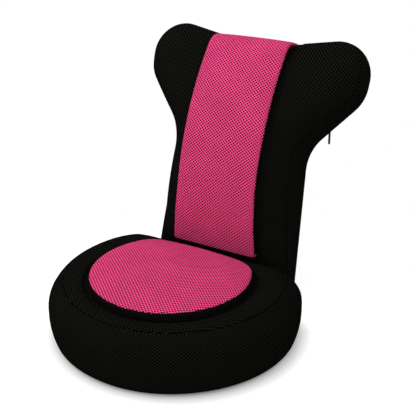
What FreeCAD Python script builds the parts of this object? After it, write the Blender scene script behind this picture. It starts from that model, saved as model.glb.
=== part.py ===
import FreeCAD, Part
import math
import os
from FreeCAD import Vector

# A floor gaming chair: a round padded seat on the floor and a padded back with two head
# wings, joined by a pair of ratchet hinges. Millimetres and degrees, Z up, the chair
# faces -Y, and the origin is on the floor under the middle of the round seat.

# Fits and play
SOFT_GAP = 0.3
FLAT_PLAY = 0.1
CREASE_GAP = 0.8
PIN_FIT = 0.05
RATCHET_PLAY = 0.35

# Cloth
COVER_SKIN = 3.0
BASE_CLOTH = 3.0
PANEL_SKIN = 2.5
CREASE_CLOTH = 2.0

# Round seat
SEAT_RADIUS = 279.0
SEAT_TOP = 135.0
SEAT_BELLY_HEIGHT = 64.0
SEAT_BASE_TUCK = 14.0
SEAT_SHOULDER = 42.0
SEAT_REAR_CUT = 141.0
HORN_LENGTH = 10.0
HORN_GAP = 3.0

# Raised seat pad
PAD_SIDE_BAND = 95.0
PAD_FRONT_BAND = 75.0
PAD_REAR_BAND = 29.0
PAD_CORNER = 24.0
PAD_CROWN_HEIGHT = 29.0
PAD_CROWN_RADIUS = 1150.0
PAD_ROUNDING = 10.0
PAD_SEAM_HEIGHT = 11.0

# Recline hinge
HINGE_SETBACK = 59.0
HINGE_Z = 60.0
HINGE_X = 143.0
REST_LEAN = 18.0

# Back outline, half of it: x from the middle, s up along the back from the hinge
FOOT_HALF = 195.5
NECK_HALF = 163.0
NECK_S = 316.5
NECK_ROUND = 106.0
WING_LOW_HALF = 280.0
WING_TOP_HALF = 284.5
WING_LOW_S = 449.5
WING_LOW_ROUND = 91.0
WING_TOP_S = 590.0
WING_TOP_ROUND = 77.0
VALLEY_X = 90.0
VALLEY_S = 555.0
VALLEY_ROUND = 150.0
CREST_S = 556.5
CREST_ROUND = 500.0

# Back section: n is forward of the plane through the hinge axis
BACK_REAR = 50.0
BACK_BELLY_S = 289.0
BACK_BELLY_N = 80.5
BACK_FRONT_RADIUS = 684.0
FOOT_RADIUS = 30.0
BACK_EDGE = 28.0
REAR_SEAM_N = 20.0

# Raised back pad
BACK_PAD_HALF = 102.5
BACK_PAD_FOOT_HALF = 110.5
BACK_PAD_FOOT_S = 58.0
BACK_PAD_FLARE_S = 210.0
BACK_PAD_BELLY_S = 286.0
BACK_PAD_BELLY_N = 101.0
BACK_PAD_RADIUS = 640.0
BACK_PAD_OVER = 2.5
BACK_PAD_NOSE = 40.0
BACK_PAD_WRAP_N = 16.0

# Steel frames
TUBE_RADIUS = 9.5
TUBE_WALL = 1.5
ROD_RADIUS = 5.0
WEBBING_SKIN = 1.6
WEBBING_PLAY = 0.2
SEAT_TUBE_SETBACK = 100.0
SEAT_LEG_LENGTH = 227.0
SEAT_ROD_GAP = 12.0
SEAT_ROD_PITCH = 45.0
SEAT_ROD_COUNT = 2
SEAT_WEBBING_GAP = 6.0
SEAT_WEBBING_PITCH = 36.0
SEAT_WEBBING_COUNT = 2
SEAT_WEBBING_WIDTH = 26.0
BACK_TUBE_FOOT_S = 48.0
BACK_BEND_S = 335.0
BACK_HOOP_WING_X = 228.0
BACK_HOOP_WING_S = 426.0
BACK_HOOP_TOP_S = 528.0
BACK_HOOP_BEND = 46.0
BACK_ROD_GAP = 18.0
BACK_ROD_DROP = 20.0
BACK_WEBBING_RISE = 63.0
BACK_WEBBING_PITCH = 40.0
BACK_WEBBING_COUNT = 3
BACK_WING_WEBBING_DROP = 66.0
BACK_WEBBING_WIDTH = 28.0

# Ratchet hinges
CHEEK_SKIN = 3.0
CHEEK_RADIUS = 38.0
CHEEK_REACH = 150.0
CHEEK_NECK = 72.0
CHEEK_TAIL_HALF = 13.0
CHEEK_ROUND = 8.0
PIVOT_RADIUS = 6.0
PIVOT_HEAD_RADIUS = 10.0
HEAD_SKIN = 3.0
SPACER_WALL = 3.0
RATCHET_SKIN = 6.0
RATCHET_TIP_RADIUS = 26.0
RATCHET_ROOT_RADIUS = 22.8
RATCHET_STEP = 6.0
FORWARD_STEP_COUNT = 2
REAR_STEP_COUNT = 12
CATCH_ANGLE = 103.0
ARM_HALF = 9.0
ARM_TOP_S = 112.0
PAWL_PIVOT_ANGLE = 43.5
PAWL_PIVOT_REACH = 46.5
PAWL_PIN_RADIUS = 4.0
PAWL_EYE_RADIUS = 8.5
PAWL_NOSE_DEPTH = 5.0
PAWL_LIFT = 7.0
SPRING_SKIN = 0.8
SPRING_WIDTH = 5.0
SPRING_PIN_RADIUS = 2.5
SPRING_PIN_REACH = 17.5
SPRING_TOUCH = 16.0
RIVET_RADIUS = 2.5
RIVET_HEAD_RADIUS = 4.5
RIVET_HEAD_SKIN = 2.0
SEAT_RIVET_SETBACKS = (112.0, 136.0)
BACK_RIVET_SS = (64.0, 98.0)
POCKET_GAP = 1.5

# Zip across the rear panel
ZIP_S = 388.0
ZIP_HALF_LENGTH = 203.0
ZIP_TAPE_HALF = 13.0
ZIP_TAPE_SKIN = 1.2
ZIP_COIL_HALF = 2.6
ZIP_COIL_HEIGHT = 1.8
ZIP_STOP_LENGTH = 4.0
SLIDER_LENGTH = 12.0
SLIDER_HALF = 4.8
SLIDER_ROOF = 1.6
SLIDER_PLAY = 0.2
BAIL_WIRE = 0.8
BAIL_RISE = 3.2
BAIL_HALF_SPAN = 3.4
PULL_LENGTH = 50.0
PULL_HALF = 2.5
PULL_SKIN = 1.6
PULL_EYE_PLAY = 0.4

# Worked out once from the sizes above
SEAT_REAR = SEAT_RADIUS - SEAT_REAR_CUT
HORN_END = SEAT_REAR + HORN_LENGTH
PAD_RADIUS = SEAT_RADIUS - PAD_SIDE_BAND
PAD_CENTRE_Y = PAD_RADIUS + PAD_FRONT_BAND - SEAT_RADIUS
PAD_REAR = SEAT_REAR - PAD_REAR_BAND
HINGE_Y = SEAT_REAR + HINGE_SETBACK
HINGE = Vector(0, HINGE_Y, HINGE_Z)
SEAT_HOOP_FRONT_Y = HINGE_Y - SEAT_LEG_LENGTH
X_AXIS = Vector(1, 0, 0)
Y_AXIS = Vector(0, 1, 0)
Z_AXIS = Vector(0, 0, 1)
ORIGIN = Vector(0, 0, 0)
FAR = 4 * SEAT_RADIUS
FRAME_HALF = TUBE_RADIUS + WEBBING_PLAY + WEBBING_SKIN + SOFT_GAP
CHEEK_INNER = TUBE_RADIUS + FLAT_PLAY
CHEEK_OUTER = CHEEK_INNER + CHEEK_SKIN
POCKET_HALF = CHEEK_OUTER + HEAD_SKIN + POCKET_GAP
POCKET_REACH = CHEEK_RADIUS + POCKET_GAP
SIDES = {"left": -1, "right": 1}


def slab(low, high):
    """A box between two corners."""
    size = high - low
    return Part.makeBox(size.x, size.y, size.z, low)


def rounded_edges(corners, closed):
    """Straight edges through (u, v, radius) corners, with a tangent arc at each radius."""
    count = len(corners)
    spans = []
    for index, (u, v, radius) in enumerate(corners):
        point = Vector(u, v, 0)
        if radius == 0:
            spans.append((point, None, point))
            continue
        before = corners[index - 1]
        after = corners[(index + 1) % count]
        back = (Vector(before[0], before[1], 0) - point).normalize()
        ahead = (Vector(after[0], after[1], 0) - point).normalize()
        half = back.getAngle(ahead) / 2
        reach = radius / math.tan(half)
        bisector = (back + ahead).normalize()
        middle = point + bisector * (radius / math.sin(half) - radius)
        spans.append((point + back * reach, middle, point + ahead * reach))
    edges = []
    last = count if closed else count - 1
    for index, (start, middle, end) in enumerate(spans):
        if middle is not None:
            edges.append(Part.Arc(start, middle, end).toShape())
        if index < last:
            edges.append(Part.LineSegment(end, spans[(index + 1) % count][0]).toShape())
    return edges


def rounded_wire(corners):
    return Part.Wire(rounded_edges(corners, True))


def inset_face(wire, inset):
    """The face inside a wire, drawn in by inset, or out where inset is negative."""
    if inset != 0:
        wire = wire.makeOffset2D(-inset, 2)
    return Part.Face(wire)


def prism(wire, inset, low, high):
    """A flat outline in XY drawn out between two heights."""
    face = inset_face(wire, inset)
    face.translate(Z_AXIS * low)
    return face.extrude(Z_AXIS * (high - low))


def across(wire, inset, half):
    """A section drawn in (u, v), set up in the YZ plane and drawn out to both sides."""
    face = inset_face(wire, inset)
    face.rotate(ORIGIN, Vector(1, 1, 1), 120)
    face.translate(X_AXIS * -half)
    return face.extrude(X_AXIS * (2 * half))


def disc_x(x, half, y, z, radius):
    """A round plate or pin along X, centred on x."""
    return Part.makeCylinder(radius, 2 * half, Vector(x - half, y, z), X_AXIS)


def lean_back(shape):
    """From the back's own axes (x, s, n) to the leaning back in the chair."""
    placed = shape.copy()
    placed.rotate(ORIGIN, X_AXIS, 90 - REST_LEAN)
    placed.translate(HINGE)
    return placed


def upright(shape):
    """From the back's own axes (x, s, n) to the hinge, with s straight up and n forward."""
    placed = shape.copy()
    placed.rotate(ORIGIN, X_AXIS, 90)
    placed.translate(HINGE)
    return placed


def pipe(edges, frame_normal_at, radius):
    """A round bar along a path; frame_normal_at is the start and the path's direction there."""
    start, heading = frame_normal_at
    ring = Part.Wire(Part.Circle(start, heading, radius).toShape())
    return Part.Wire(edges).makePipeShell([ring], True, False)


def tube(edges, frame_normal_at):
    outer = pipe(edges, frame_normal_at, TUBE_RADIUS)
    return outer.cut(pipe(edges, frame_normal_at, TUBE_RADIUS - TUBE_WALL))


def group(solids):
    return Part.makeCompound(solids)


# Round seat


def seat_block(inset, floor):
    """The round seat with its rear notch for the back, drawn in by inset above floor."""
    lower_radius = (SEAT_BASE_TUCK**2 + SEAT_BELLY_HEIGHT**2) / (2 * SEAT_BASE_TUCK)
    rise = SEAT_TOP - SEAT_BELLY_HEIGHT
    upper_radius = (SEAT_SHOULDER**2 + rise**2) / (2 * SEAT_SHOULDER)

    def side(radius, height):
        """A point of the barrel side, on the arc of one radius about the widest height."""
        arc = radius - inset
        away = height - SEAT_BELLY_HEIGHT
        return Vector(SEAT_RADIUS - radius + math.sqrt(arc**2 - away**2), 0, height)

    top = SEAT_TOP - inset
    foot = side(lower_radius, floor)
    low_mid = side(lower_radius, (floor + SEAT_BELLY_HEIGHT) / 2)
    belly = side(lower_radius, SEAT_BELLY_HEIGHT)
    high_mid = side(upper_radius, (SEAT_BELLY_HEIGHT + top) / 2)
    rim = side(upper_radius, top)
    edges = [
        Part.LineSegment(Vector(0, 0, floor), foot).toShape(),
        Part.Arc(foot, low_mid, belly).toShape(),
        Part.Arc(belly, high_mid, rim).toShape(),
        Part.LineSegment(rim, Vector(0, 0, top)).toShape(),
        Part.LineSegment(Vector(0, 0, top), Vector(0, 0, floor)).toShape(),
    ]
    block = Part.Face(Part.Wire(edges)).revolve(ORIGIN, Z_AXIS, 360)
    notch = FOOT_HALF + HORN_GAP + inset
    block = block.cut(slab(Vector(-notch, SEAT_REAR - inset, -FAR), Vector(notch, FAR, FAR)))
    return block.cut(slab(Vector(-FAR, HORN_END - inset, -FAR), Vector(FAR, FAR, FAR)))


def seat_pockets():
    """The room that the hinge cheeks need at the rear of the seat, on both sides."""
    low_y = HINGE_Y - CHEEK_REACH - POCKET_GAP
    boxes = []
    for side in SIDES.values():
        x = side * HINGE_X
        low = Vector(x - POCKET_HALF, low_y, HINGE_Z - POCKET_REACH)
        boxes.append(slab(low, Vector(x + POCKET_HALF, FAR, HINGE_Z + POCKET_REACH)))
    return group(boxes)


def layer(block, low, high):
    return block.common(slab(Vector(-FAR, -FAR, low), Vector(FAR, FAR, high)))


def seat_soft_parts():
    outside = seat_block(0, 0)
    inside = seat_block(COVER_SKIN, BASE_CLOTH)
    foam = seat_block(COVER_SKIN + SOFT_GAP, BASE_CLOTH).cut(seat_pockets())
    frame_low = HINGE_Z - FRAME_HALF
    frame_high = HINGE_Z + FRAME_HALF
    hoop_room = HINGE_X + FRAME_HALF
    room = Part.makeCylinder(hoop_room, 2 * FRAME_HALF, Vector(0, SEAT_HOOP_FRONT_Y, frame_low))
    room = room.fuse(
        slab(
            Vector(-hoop_room, SEAT_HOOP_FRONT_Y, frame_low),
            Vector(hoop_room, FAR, frame_high),
        )
    )
    return {
        "seat_base_cloth": layer(outside, 0, BASE_CLOTH),
        "seat_cover": layer(outside, BASE_CLOTH, FAR).cut(inside).cut(seat_pockets()),
        "seat_lower_foam": layer(foam, BASE_CLOTH, frame_low),
        "seat_edge_foam": layer(foam, frame_low, frame_high).cut(room),
        "seat_upper_foam": layer(foam, frame_high, SEAT_TOP),
    }


def seat_pad_block(inset):
    """The crowned D-shaped pad on top of the seat, drawn in by inset."""
    half_chord = math.sqrt(PAD_RADIUS**2 - (PAD_REAR - PAD_CENTRE_Y) ** 2)
    left = Vector(-half_chord, PAD_REAR, 0)
    right = Vector(half_chord, PAD_REAR, 0)
    front = Vector(0, PAD_CENTRE_Y - PAD_RADIUS, 0)
    outline = Part.Wire(
        [
            Part.Arc(right, front, left).toShape(),
            Part.LineSegment(left, right).toShape(),
        ]
    )
    block = prism(outline, inset, SEAT_TOP, SEAT_TOP + 2 * PAD_CROWN_HEIGHT)
    upright_edges = [e for e in block.Edges if e.Length > PAD_CROWN_HEIGHT and is_along(e, Z_AXIS)]
    block = block.makeFillet(PAD_CORNER - inset, upright_edges)
    crown = Vector(0, PAD_CENTRE_Y, SEAT_TOP + PAD_CROWN_HEIGHT - PAD_CROWN_RADIUS)
    block = block.common(Part.makeSphere(PAD_CROWN_RADIUS - inset, crown))
    top_edges = [e for e in block.Edges if e.BoundBox.ZMin > SEAT_TOP + FLAT_PLAY]
    return block.makeFillet(PAD_ROUNDING - inset, top_edges)


def is_along(edge, direction):
    """True for a straight edge that runs along direction."""
    if not isinstance(edge.Curve, (Part.Line, Part.LineSegment)):
        return False
    heading = edge.Vertexes[-1].Point - edge.Vertexes[0].Point
    return heading.cross(direction).Length < FLAT_PLAY * PIN_FIT * heading.Length


def seat_pad_parts():
    skin = seat_pad_block(0).cut(seat_pad_block(PANEL_SKIN))
    seam = SEAT_TOP + PAD_SEAM_HEIGHT
    return {
        "seat_pad_strip": layer(skin, SEAT_TOP, seam),
        "seat_top_panel": layer(skin, seam, FAR),
        "seat_pad_foam": seat_pad_block(PANEL_SKIN + SOFT_GAP),
    }


# Padded back, in its own axes: x across, s up along the back, n forward


def mirrored(corners):
    """The other half of an outline, so that the corners run on round."""
    return [(-u, v, radius) for u, v, radius in reversed(corners)]


def back_outline():
    half = [
        (FOOT_HALF, -2 * BACK_REAR, 0),
        (NECK_HALF, NECK_S, NECK_ROUND),
        (WING_LOW_HALF, WING_LOW_S, WING_LOW_ROUND),
        (WING_TOP_HALF, WING_TOP_S, WING_TOP_ROUND),
        (VALLEY_X, VALLEY_S, VALLEY_ROUND),
    ]
    return rounded_wire(half + [(0, CREST_S, CREST_ROUND)] + mirrored(half))


def front_n(s, belly_s, belly_n, radius):
    """How far forward an arched front stands at s."""
    return belly_n - radius + math.sqrt(radius**2 - (s - belly_s) ** 2)


def bolster_n(s):
    return front_n(s, BACK_BELLY_S, BACK_BELLY_N, BACK_FRONT_RADIUS)


def pad_n(s):
    return front_n(s, BACK_PAD_BELLY_S, BACK_PAD_BELLY_N, BACK_PAD_RADIUS)


def back_section():
    """The side section: flat rear, arched front and a round foot that touches both."""
    front_centre = Vector(BACK_BELLY_S, BACK_BELLY_N - BACK_FRONT_RADIUS, 0)
    foot_n = FOOT_RADIUS - BACK_REAR
    reach = BACK_FRONT_RADIUS - FOOT_RADIUS
    foot_s = BACK_BELLY_S - math.sqrt(reach**2 - (foot_n - front_centre.y) ** 2)
    foot = Vector(foot_s, foot_n, 0)
    touch = front_centre + (foot - front_centre) * (BACK_FRONT_RADIUS / reach)
    rear_touch = Vector(foot_s, -BACK_REAR, 0)
    toe = foot + ((touch - foot) + (rear_touch - foot) - X_AXIS * FOOT_RADIUS).normalize() * FOOT_RADIUS
    head = WING_TOP_S + BACK_EDGE
    rear_head = Vector(head, -BACK_REAR, 0)
    front_head = Vector(head, bolster_n(head), 0)
    belly = Vector(BACK_BELLY_S, BACK_BELLY_N, 0)
    return Part.Wire(
        [
            Part.LineSegment(rear_touch, rear_head).toShape(),
            Part.LineSegment(rear_head, front_head).toShape(),
            Part.Arc(front_head, belly, touch).toShape(),
            Part.Arc(touch, toe, rear_touch).toShape(),
        ]
    )


def back_block(inset):
    """The winged back with rounded edges, drawn in by inset."""
    plate = prism(back_outline(), inset, -FAR, FAR)
    block = plate.common(across(back_section(), inset, FAR))
    rim = [e for e in block.Edges if not is_along(e, X_AXIS) and not is_along(e, Z_AXIS)]
    return block.makeFillet(BACK_EDGE - inset, rim)


def back_notches():
    """The room that the seat's hinge cheeks sweep at the foot of the back."""
    boxes = []
    for side in SIDES.values():
        x = side * HINGE_X
        low = Vector(x - POCKET_HALF, -FAR, -POCKET_REACH)
        boxes.append(slab(low, Vector(x + POCKET_HALF, POCKET_REACH, FAR)))
    return group(boxes)


def zip_slot(play):
    """The slit in the rear panel that the zip tape fills."""
    length = ZIP_HALF_LENGTH + play
    half = ZIP_TAPE_HALF + play
    return slab(
        Vector(-length, ZIP_S - half, -FAR),
        Vector(length, ZIP_S + half, -BACK_REAR + COVER_SKIN),
    )


def hoop_corners():
    """The middle line of the back's bent tube, from one foot to the other."""
    half = [
        (HINGE_X, BACK_TUBE_FOOT_S, 0),
        (HINGE_X, BACK_BEND_S, BACK_HOOP_BEND),
        (BACK_HOOP_WING_X, BACK_HOOP_WING_S, BACK_HOOP_BEND),
        (BACK_HOOP_WING_X, BACK_HOOP_TOP_S, BACK_HOOP_BEND),
    ]
    return half + mirrored(half)


def back_soft_parts(outside):
    inside = back_block(COVER_SKIN)
    foam = back_block(COVER_SKIN + SOFT_GAP).cut(back_notches())
    skin = outside.cut(inside).cut(back_notches())
    room_corners = hoop_corners()
    room_corners[0] = (room_corners[0][0], -FAR, 0)
    room_corners[-1] = (room_corners[-1][0], -FAR, 0)
    room = prism(rounded_wire(room_corners), -FRAME_HALF, -FRAME_HALF, FRAME_HALF)
    return {
        "back_cover": layer(skin, -REAR_SEAM_N, FAR),
        "back_rear_panel": layer(skin, -FAR, -REAR_SEAM_N).cut(zip_slot(SOFT_GAP)),
        "back_front_foam": layer(foam, FRAME_HALF, FAR),
        "back_edge_foam": layer(foam, -FRAME_HALF, FRAME_HALF).cut(room),
        "back_rear_foam": layer(foam, -FAR, -FRAME_HALF),
    }


def back_pad_outline():
    """The raised pad seen from the front: a strip that flares towards its foot."""
    top = CREST_S + BACK_EDGE
    half = [(BACK_PAD_FOOT_HALF, BACK_PAD_FOOT_S, 0), (BACK_PAD_HALF, BACK_PAD_FLARE_S, WING_TOP_S)]
    half.append((BACK_PAD_HALF, top, 0))
    return rounded_wire(half + mirrored(half))


def back_pad_section():
    """The pad's side section: arched front, and a nose that wraps over the top of the back."""
    top = CREST_S + BACK_PAD_OVER
    arc_centre = Vector(BACK_PAD_BELLY_S, BACK_PAD_BELLY_N - BACK_PAD_RADIUS, 0)
    nose_s = top - BACK_PAD_NOSE
    reach = BACK_PAD_RADIUS - BACK_PAD_NOSE
    nose_n = arc_centre.y + math.sqrt(reach**2 - (nose_s - arc_centre.x) ** 2)
    nose = Vector(nose_s, nose_n, 0)
    touch = arc_centre + (nose - arc_centre) * (BACK_PAD_RADIUS / reach)
    crest = Vector(top, nose_n, 0)
    bulge = nose + ((touch - nose) + (crest - nose)).normalize() * BACK_PAD_NOSE
    foot = Vector(BACK_PAD_FOOT_S, pad_n(BACK_PAD_FOOT_S), 0)
    belly = Vector(BACK_PAD_BELLY_S, BACK_PAD_BELLY_N, 0)
    rear = Vector(top, -BACK_PAD_WRAP_N, 0)
    inner = Vector(BACK_PAD_FOOT_S, -BACK_PAD_WRAP_N, 0)
    return Part.Wire(
        [
            Part.Arc(foot, belly, touch).toShape(),
            Part.Arc(touch, bulge, crest).toShape(),
            Part.LineSegment(crest, rear).toShape(),
            Part.LineSegment(rear, inner).toShape(),
            Part.LineSegment(inner, foot).toShape(),
        ]
    )


def back_pad_parts():
    seat_for_pad = back_block(-SOFT_GAP)
    outline = back_pad_outline()
    section = back_pad_section()
    plate = prism(outline, 0, -BACK_PAD_WRAP_N, FAR)
    core = prism(outline, PANEL_SKIN, -FAR, FAR)
    inner = across(section, PANEL_SKIN, FAR)
    whole = plate.common(across(section, 0, FAR)).cut(seat_for_pad)
    stuffing = prism(outline, PANEL_SKIN + SOFT_GAP, -FAR, FAR)
    stuffing = stuffing.common(across(section, PANEL_SKIN + SOFT_GAP, FAR)).cut(seat_for_pad)
    stuffing = largest(stuffing)
    return {
        "back_centre_panel": largest(whole.cut(inner)),
        "back_pad_strips": whole.common(inner).cut(core),
        "back_pad_foam": stuffing,
    }


def largest(shape):
    return max(shape.Solids, key=lambda solid: solid.Volume)


# Steel frames


def leg_solid(x, radius):
    """A straight run of the seat's tube, used to cope what is welded to it."""
    return Part.makeCylinder(radius, 2 * FAR, Vector(x, -FAR, HINGE_Z), Y_AXIS)


def webbing_loop(half_span, radius):
    """A flat racetrack around two tubes, in XY, one webbing thick."""
    corners = []
    for u, v in ((1, 1), (-1, 1), (-1, -1), (1, -1)):
        corners.append((u * (half_span + radius), v * radius, radius * (1 - PIN_FIT)))
    return rounded_wire(corners)


def webbing(half_span, width):
    """An elastic band around two tubes a span apart, its middle at the origin, along Z."""
    inner = TUBE_RADIUS + WEBBING_PLAY
    outer = inner + WEBBING_SKIN
    band = prism(webbing_loop(half_span, outer), 0, -width / 2, width / 2)
    return band.cut(prism(webbing_loop(half_span, inner), 0, -width / 2, width / 2))


def rivet(x, outer_half, y, z):
    """A rivet along X, with a flat head at each end."""
    pin = disc_x(x, outer_half + RIVET_HEAD_SKIN, y, z, RIVET_RADIUS)
    for end in (-1, 1):
        middle = x + end * (outer_half + RIVET_HEAD_SKIN / 2)
        pin = pin.fuse(disc_x(middle, RIVET_HEAD_SKIN / 2, y, z, RIVET_HEAD_RADIUS))
    return pin.removeSplitter()


def seat_frame_parts():
    rear = HINGE_Y - SEAT_TUBE_SETBACK
    start = Vector(HINGE_X, rear, HINGE_Z)
    right = Vector(HINGE_X, SEAT_HOOP_FRONT_Y, HINGE_Z)
    left = Vector(-HINGE_X, SEAT_HOOP_FRONT_Y, HINGE_Z)
    front = Vector(0, SEAT_HOOP_FRONT_Y - HINGE_X, HINGE_Z)
    middle = Vector(0, SEAT_HOOP_FRONT_Y, HINGE_Z)
    slant = Vector(HINGE_X, -HINGE_X, 0).normalize() * HINGE_X
    other_slant = Vector(-HINGE_X, -HINGE_X, 0).normalize() * HINGE_X
    path = [
        Part.LineSegment(start, right).toShape(),
        Part.Arc(right, middle + slant, front).toShape(),
        Part.Arc(front, middle + other_slant, left).toShape(),
        Part.LineSegment(left, Vector(-HINGE_X, rear, HINGE_Z)).toShape(),
    ]
    hoop = tube(path, (start, Y_AXIS))
    for side in SIDES.values():
        for setback in SEAT_RIVET_SETBACKS:
            y = HINGE_Y - setback
            hoop = hoop.cut(disc_x(side * HINGE_X, 2 * TUBE_RADIUS, y, HINGE_Z, RIVET_RADIUS + PIN_FIT))
    rods = []
    cheek_tail = HINGE_Y - CHEEK_REACH
    for index in range(SEAT_ROD_COUNT):
        y = cheek_tail - SEAT_ROD_GAP - ROD_RADIUS - index * SEAT_ROD_PITCH
        rod = disc_x(0, HINGE_X, y, HINGE_Z, ROD_RADIUS)
        for side in SIDES.values():
            rod = rod.cut(leg_solid(side * HINGE_X, TUBE_RADIUS))
        rods.append(largest(rod))
    bands = []
    for index in range(SEAT_WEBBING_COUNT):
        y = cheek_tail - SEAT_WEBBING_GAP - SEAT_WEBBING_WIDTH / 2 - index * SEAT_WEBBING_PITCH
        band = webbing(HINGE_X, SEAT_WEBBING_WIDTH)
        band.rotate(ORIGIN, X_AXIS, 90)
        band.translate(Vector(0, y, HINGE_Z))
        bands.append(band)
    return {"seat_frame_hoop": hoop, "seat_cross_rods": group(rods), "seat_webbing": group(bands)}


def back_frame_parts():
    corners = hoop_corners()
    start = Vector(corners[0][0], corners[0][1], 0)
    hoop = tube(rounded_edges(corners, False), (start, Y_AXIS))
    slot_half = RATCHET_SKIN / 2 + FLAT_PLAY
    for side in SIDES.values():
        x = side * HINGE_X
        slot = slab(Vector(x - slot_half, -FAR, -FAR), Vector(x + slot_half, ARM_TOP_S + FLAT_PLAY, FAR))
        hoop = hoop.cut(slot)
        for s in BACK_RIVET_SS:
            hoop = hoop.cut(disc_x(x, 2 * TUBE_RADIUS, s, 0, RIVET_RADIUS + PIN_FIT))
    rods = []
    for s in (ARM_TOP_S + BACK_ROD_GAP + ROD_RADIUS, BACK_BEND_S - BACK_ROD_DROP):
        rod = disc_x(0, HINGE_X, s, 0, ROD_RADIUS)
        for side in SIDES.values():
            leg = Part.makeCylinder(TUBE_RADIUS, 2 * FAR, Vector(side * HINGE_X, -FAR, 0), Y_AXIS)
            rod = rod.cut(leg)
        rods.append(largest(rod))
    bands = []
    places = [(BACK_HOOP_TOP_S - BACK_WING_WEBBING_DROP, BACK_HOOP_WING_X)]
    for index in range(BACK_WEBBING_COUNT):
        places.append((ARM_TOP_S + BACK_WEBBING_RISE + index * BACK_WEBBING_PITCH, HINGE_X))
    for s, half_span in places:
        band = webbing(half_span, BACK_WEBBING_WIDTH)
        band.rotate(ORIGIN, X_AXIS, 90)
        band.translate(Y_AXIS * s)
        bands.append(band)
    return {"back_frame_hoop": hoop, "back_cross_rods": group(rods), "back_webbing": group(bands)}


# Ratchet hinges, drawn in (u, v) = (s, n) about the hinge axis


def rim_point(angle, radius):
    """A point of the ratchet's rim, its angle measured from straight ahead down to the foot."""
    turn = math.radians(angle)
    return Vector(-math.sin(turn) * radius, math.cos(turn) * radius, 0)


def plate_x(wire, x, half):
    """A flat outline in (s, n) made into a plate square to X."""
    plate = across(wire, 0, half)
    plate.translate(X_AXIS * x)
    return plate


def ratchet_plate(x):
    """A toothed disc with an arm that goes up into the slotted tube of the back."""
    first = CATCH_ANGLE - RATCHET_STEP * (FORWARD_STEP_COUNT + 1)
    teeth = FORWARD_STEP_COUNT + REAR_STEP_COUNT + 3
    points = []
    for tooth in range(teeth):
        angle = first + tooth * RATCHET_STEP
        points.append(rim_point(angle, RATCHET_ROOT_RADIUS))
        points.append(rim_point(angle, RATCHET_TIP_RADIUS))
    last = first + teeth * RATCHET_STEP
    points.append(rim_point(last, RATCHET_ROOT_RADIUS))
    edges = [Part.LineSegment(a, b).toShape() for a, b in zip(points, points[1:])]
    far_side = rim_point((last + first + 360) / 2, RATCHET_ROOT_RADIUS)
    edges.append(Part.Arc(points[-1], far_side, points[0]).toShape())
    half = RATCHET_SKIN / 2
    plate = plate_x(Part.Wire(edges), x, half)
    plate = plate.fuse(slab(Vector(x - half, 0, -ARM_HALF), Vector(x + half, ARM_TOP_S, ARM_HALF)))
    plate = plate.cut(disc_x(x, RATCHET_SKIN, 0, 0, PIVOT_RADIUS + PIN_FIT))
    for s in BACK_RIVET_SS:
        plate = plate.cut(disc_x(x, RATCHET_SKIN, s, 0, RIVET_RADIUS + PIN_FIT))
    return plate


def pawl_pivot():
    return rim_point(PAWL_PIVOT_ANGLE, PAWL_PIVOT_REACH)


def lifted(point):
    """A point of the pawl, turned from between the teeth to just clear of them."""
    pivot = pawl_pivot()
    turn = math.radians(-PAWL_LIFT)
    arm = point - pivot
    s = arm.x * math.cos(turn) - arm.y * math.sin(turn)
    n = arm.x * math.sin(turn) + arm.y * math.cos(turn)
    return pivot + Vector(s, n, 0)


def pawl_corners():
    """The lifted pawl's corners: nose, shoulder, both sides of its eye, and heel."""
    pivot = pawl_pivot()
    sideways = math.degrees(RATCHET_PLAY / RATCHET_ROOT_RADIUS)
    flank = (RATCHET_TIP_RADIUS - RATCHET_ROOT_RADIUS) * sideways / RATCHET_STEP
    nose = rim_point(CATCH_ANGLE - sideways, RATCHET_ROOT_RADIUS + flank + RATCHET_PLAY)
    heel = rim_point(CATCH_ANGLE - sideways, RATCHET_TIP_RADIUS + PAWL_NOSE_DEPTH)
    shoulder_radius = RATCHET_TIP_RADIUS + flank + RATCHET_PLAY
    shoulder = rim_point(CATCH_ANGLE - RATCHET_STEP - sideways, shoulder_radius)
    along = (heel - pivot).normalize()
    square = Vector(-along.y, along.x, 0) * (PAWL_EYE_RADIUS - RATCHET_PLAY)
    near = pivot + square
    far = pivot - square
    if near.Length > far.Length:
        near, far = far, near
    return [lifted(corner) for corner in (nose, shoulder, near, far, heel)]


def pawl(x):
    """A lever whose nose drops between two teeth, shown lifted just clear of them."""
    pivot = pawl_pivot()
    corners = pawl_corners()
    half = RATCHET_SKIN / 2
    lever = plate_x(Part.makePolygon(corners + corners[:1]), x, half)
    lever = lever.fuse(disc_x(x, half, pivot.x, pivot.y, PAWL_EYE_RADIUS))
    return lever.cut(disc_x(x, RATCHET_SKIN, pivot.x, pivot.y, PAWL_PIN_RADIUS + PIN_FIT))


def hinge_place(point):
    """A point drawn in (s, n) on the back's axes, as (up, forward) of the upright hinge."""
    turn = math.radians(REST_LEAN)
    up = point.x * math.cos(turn) + point.y * math.sin(turn)
    ahead = -point.x * math.sin(turn) + point.y * math.cos(turn)
    return Vector(up, ahead, 0)


def spring_pin_place():
    """The spring's pin, in (up, forward) of the hinge, ahead of the pawl's pin and below it."""
    pivot = hinge_place(pawl_pivot())
    drop = PAWL_EYE_RADIUS + SPRING_SKIN + 2 * SOFT_GAP + SPRING_PIN_RADIUS
    return Vector(pivot.x - drop, pivot.y + SPRING_PIN_REACH, 0)


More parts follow.
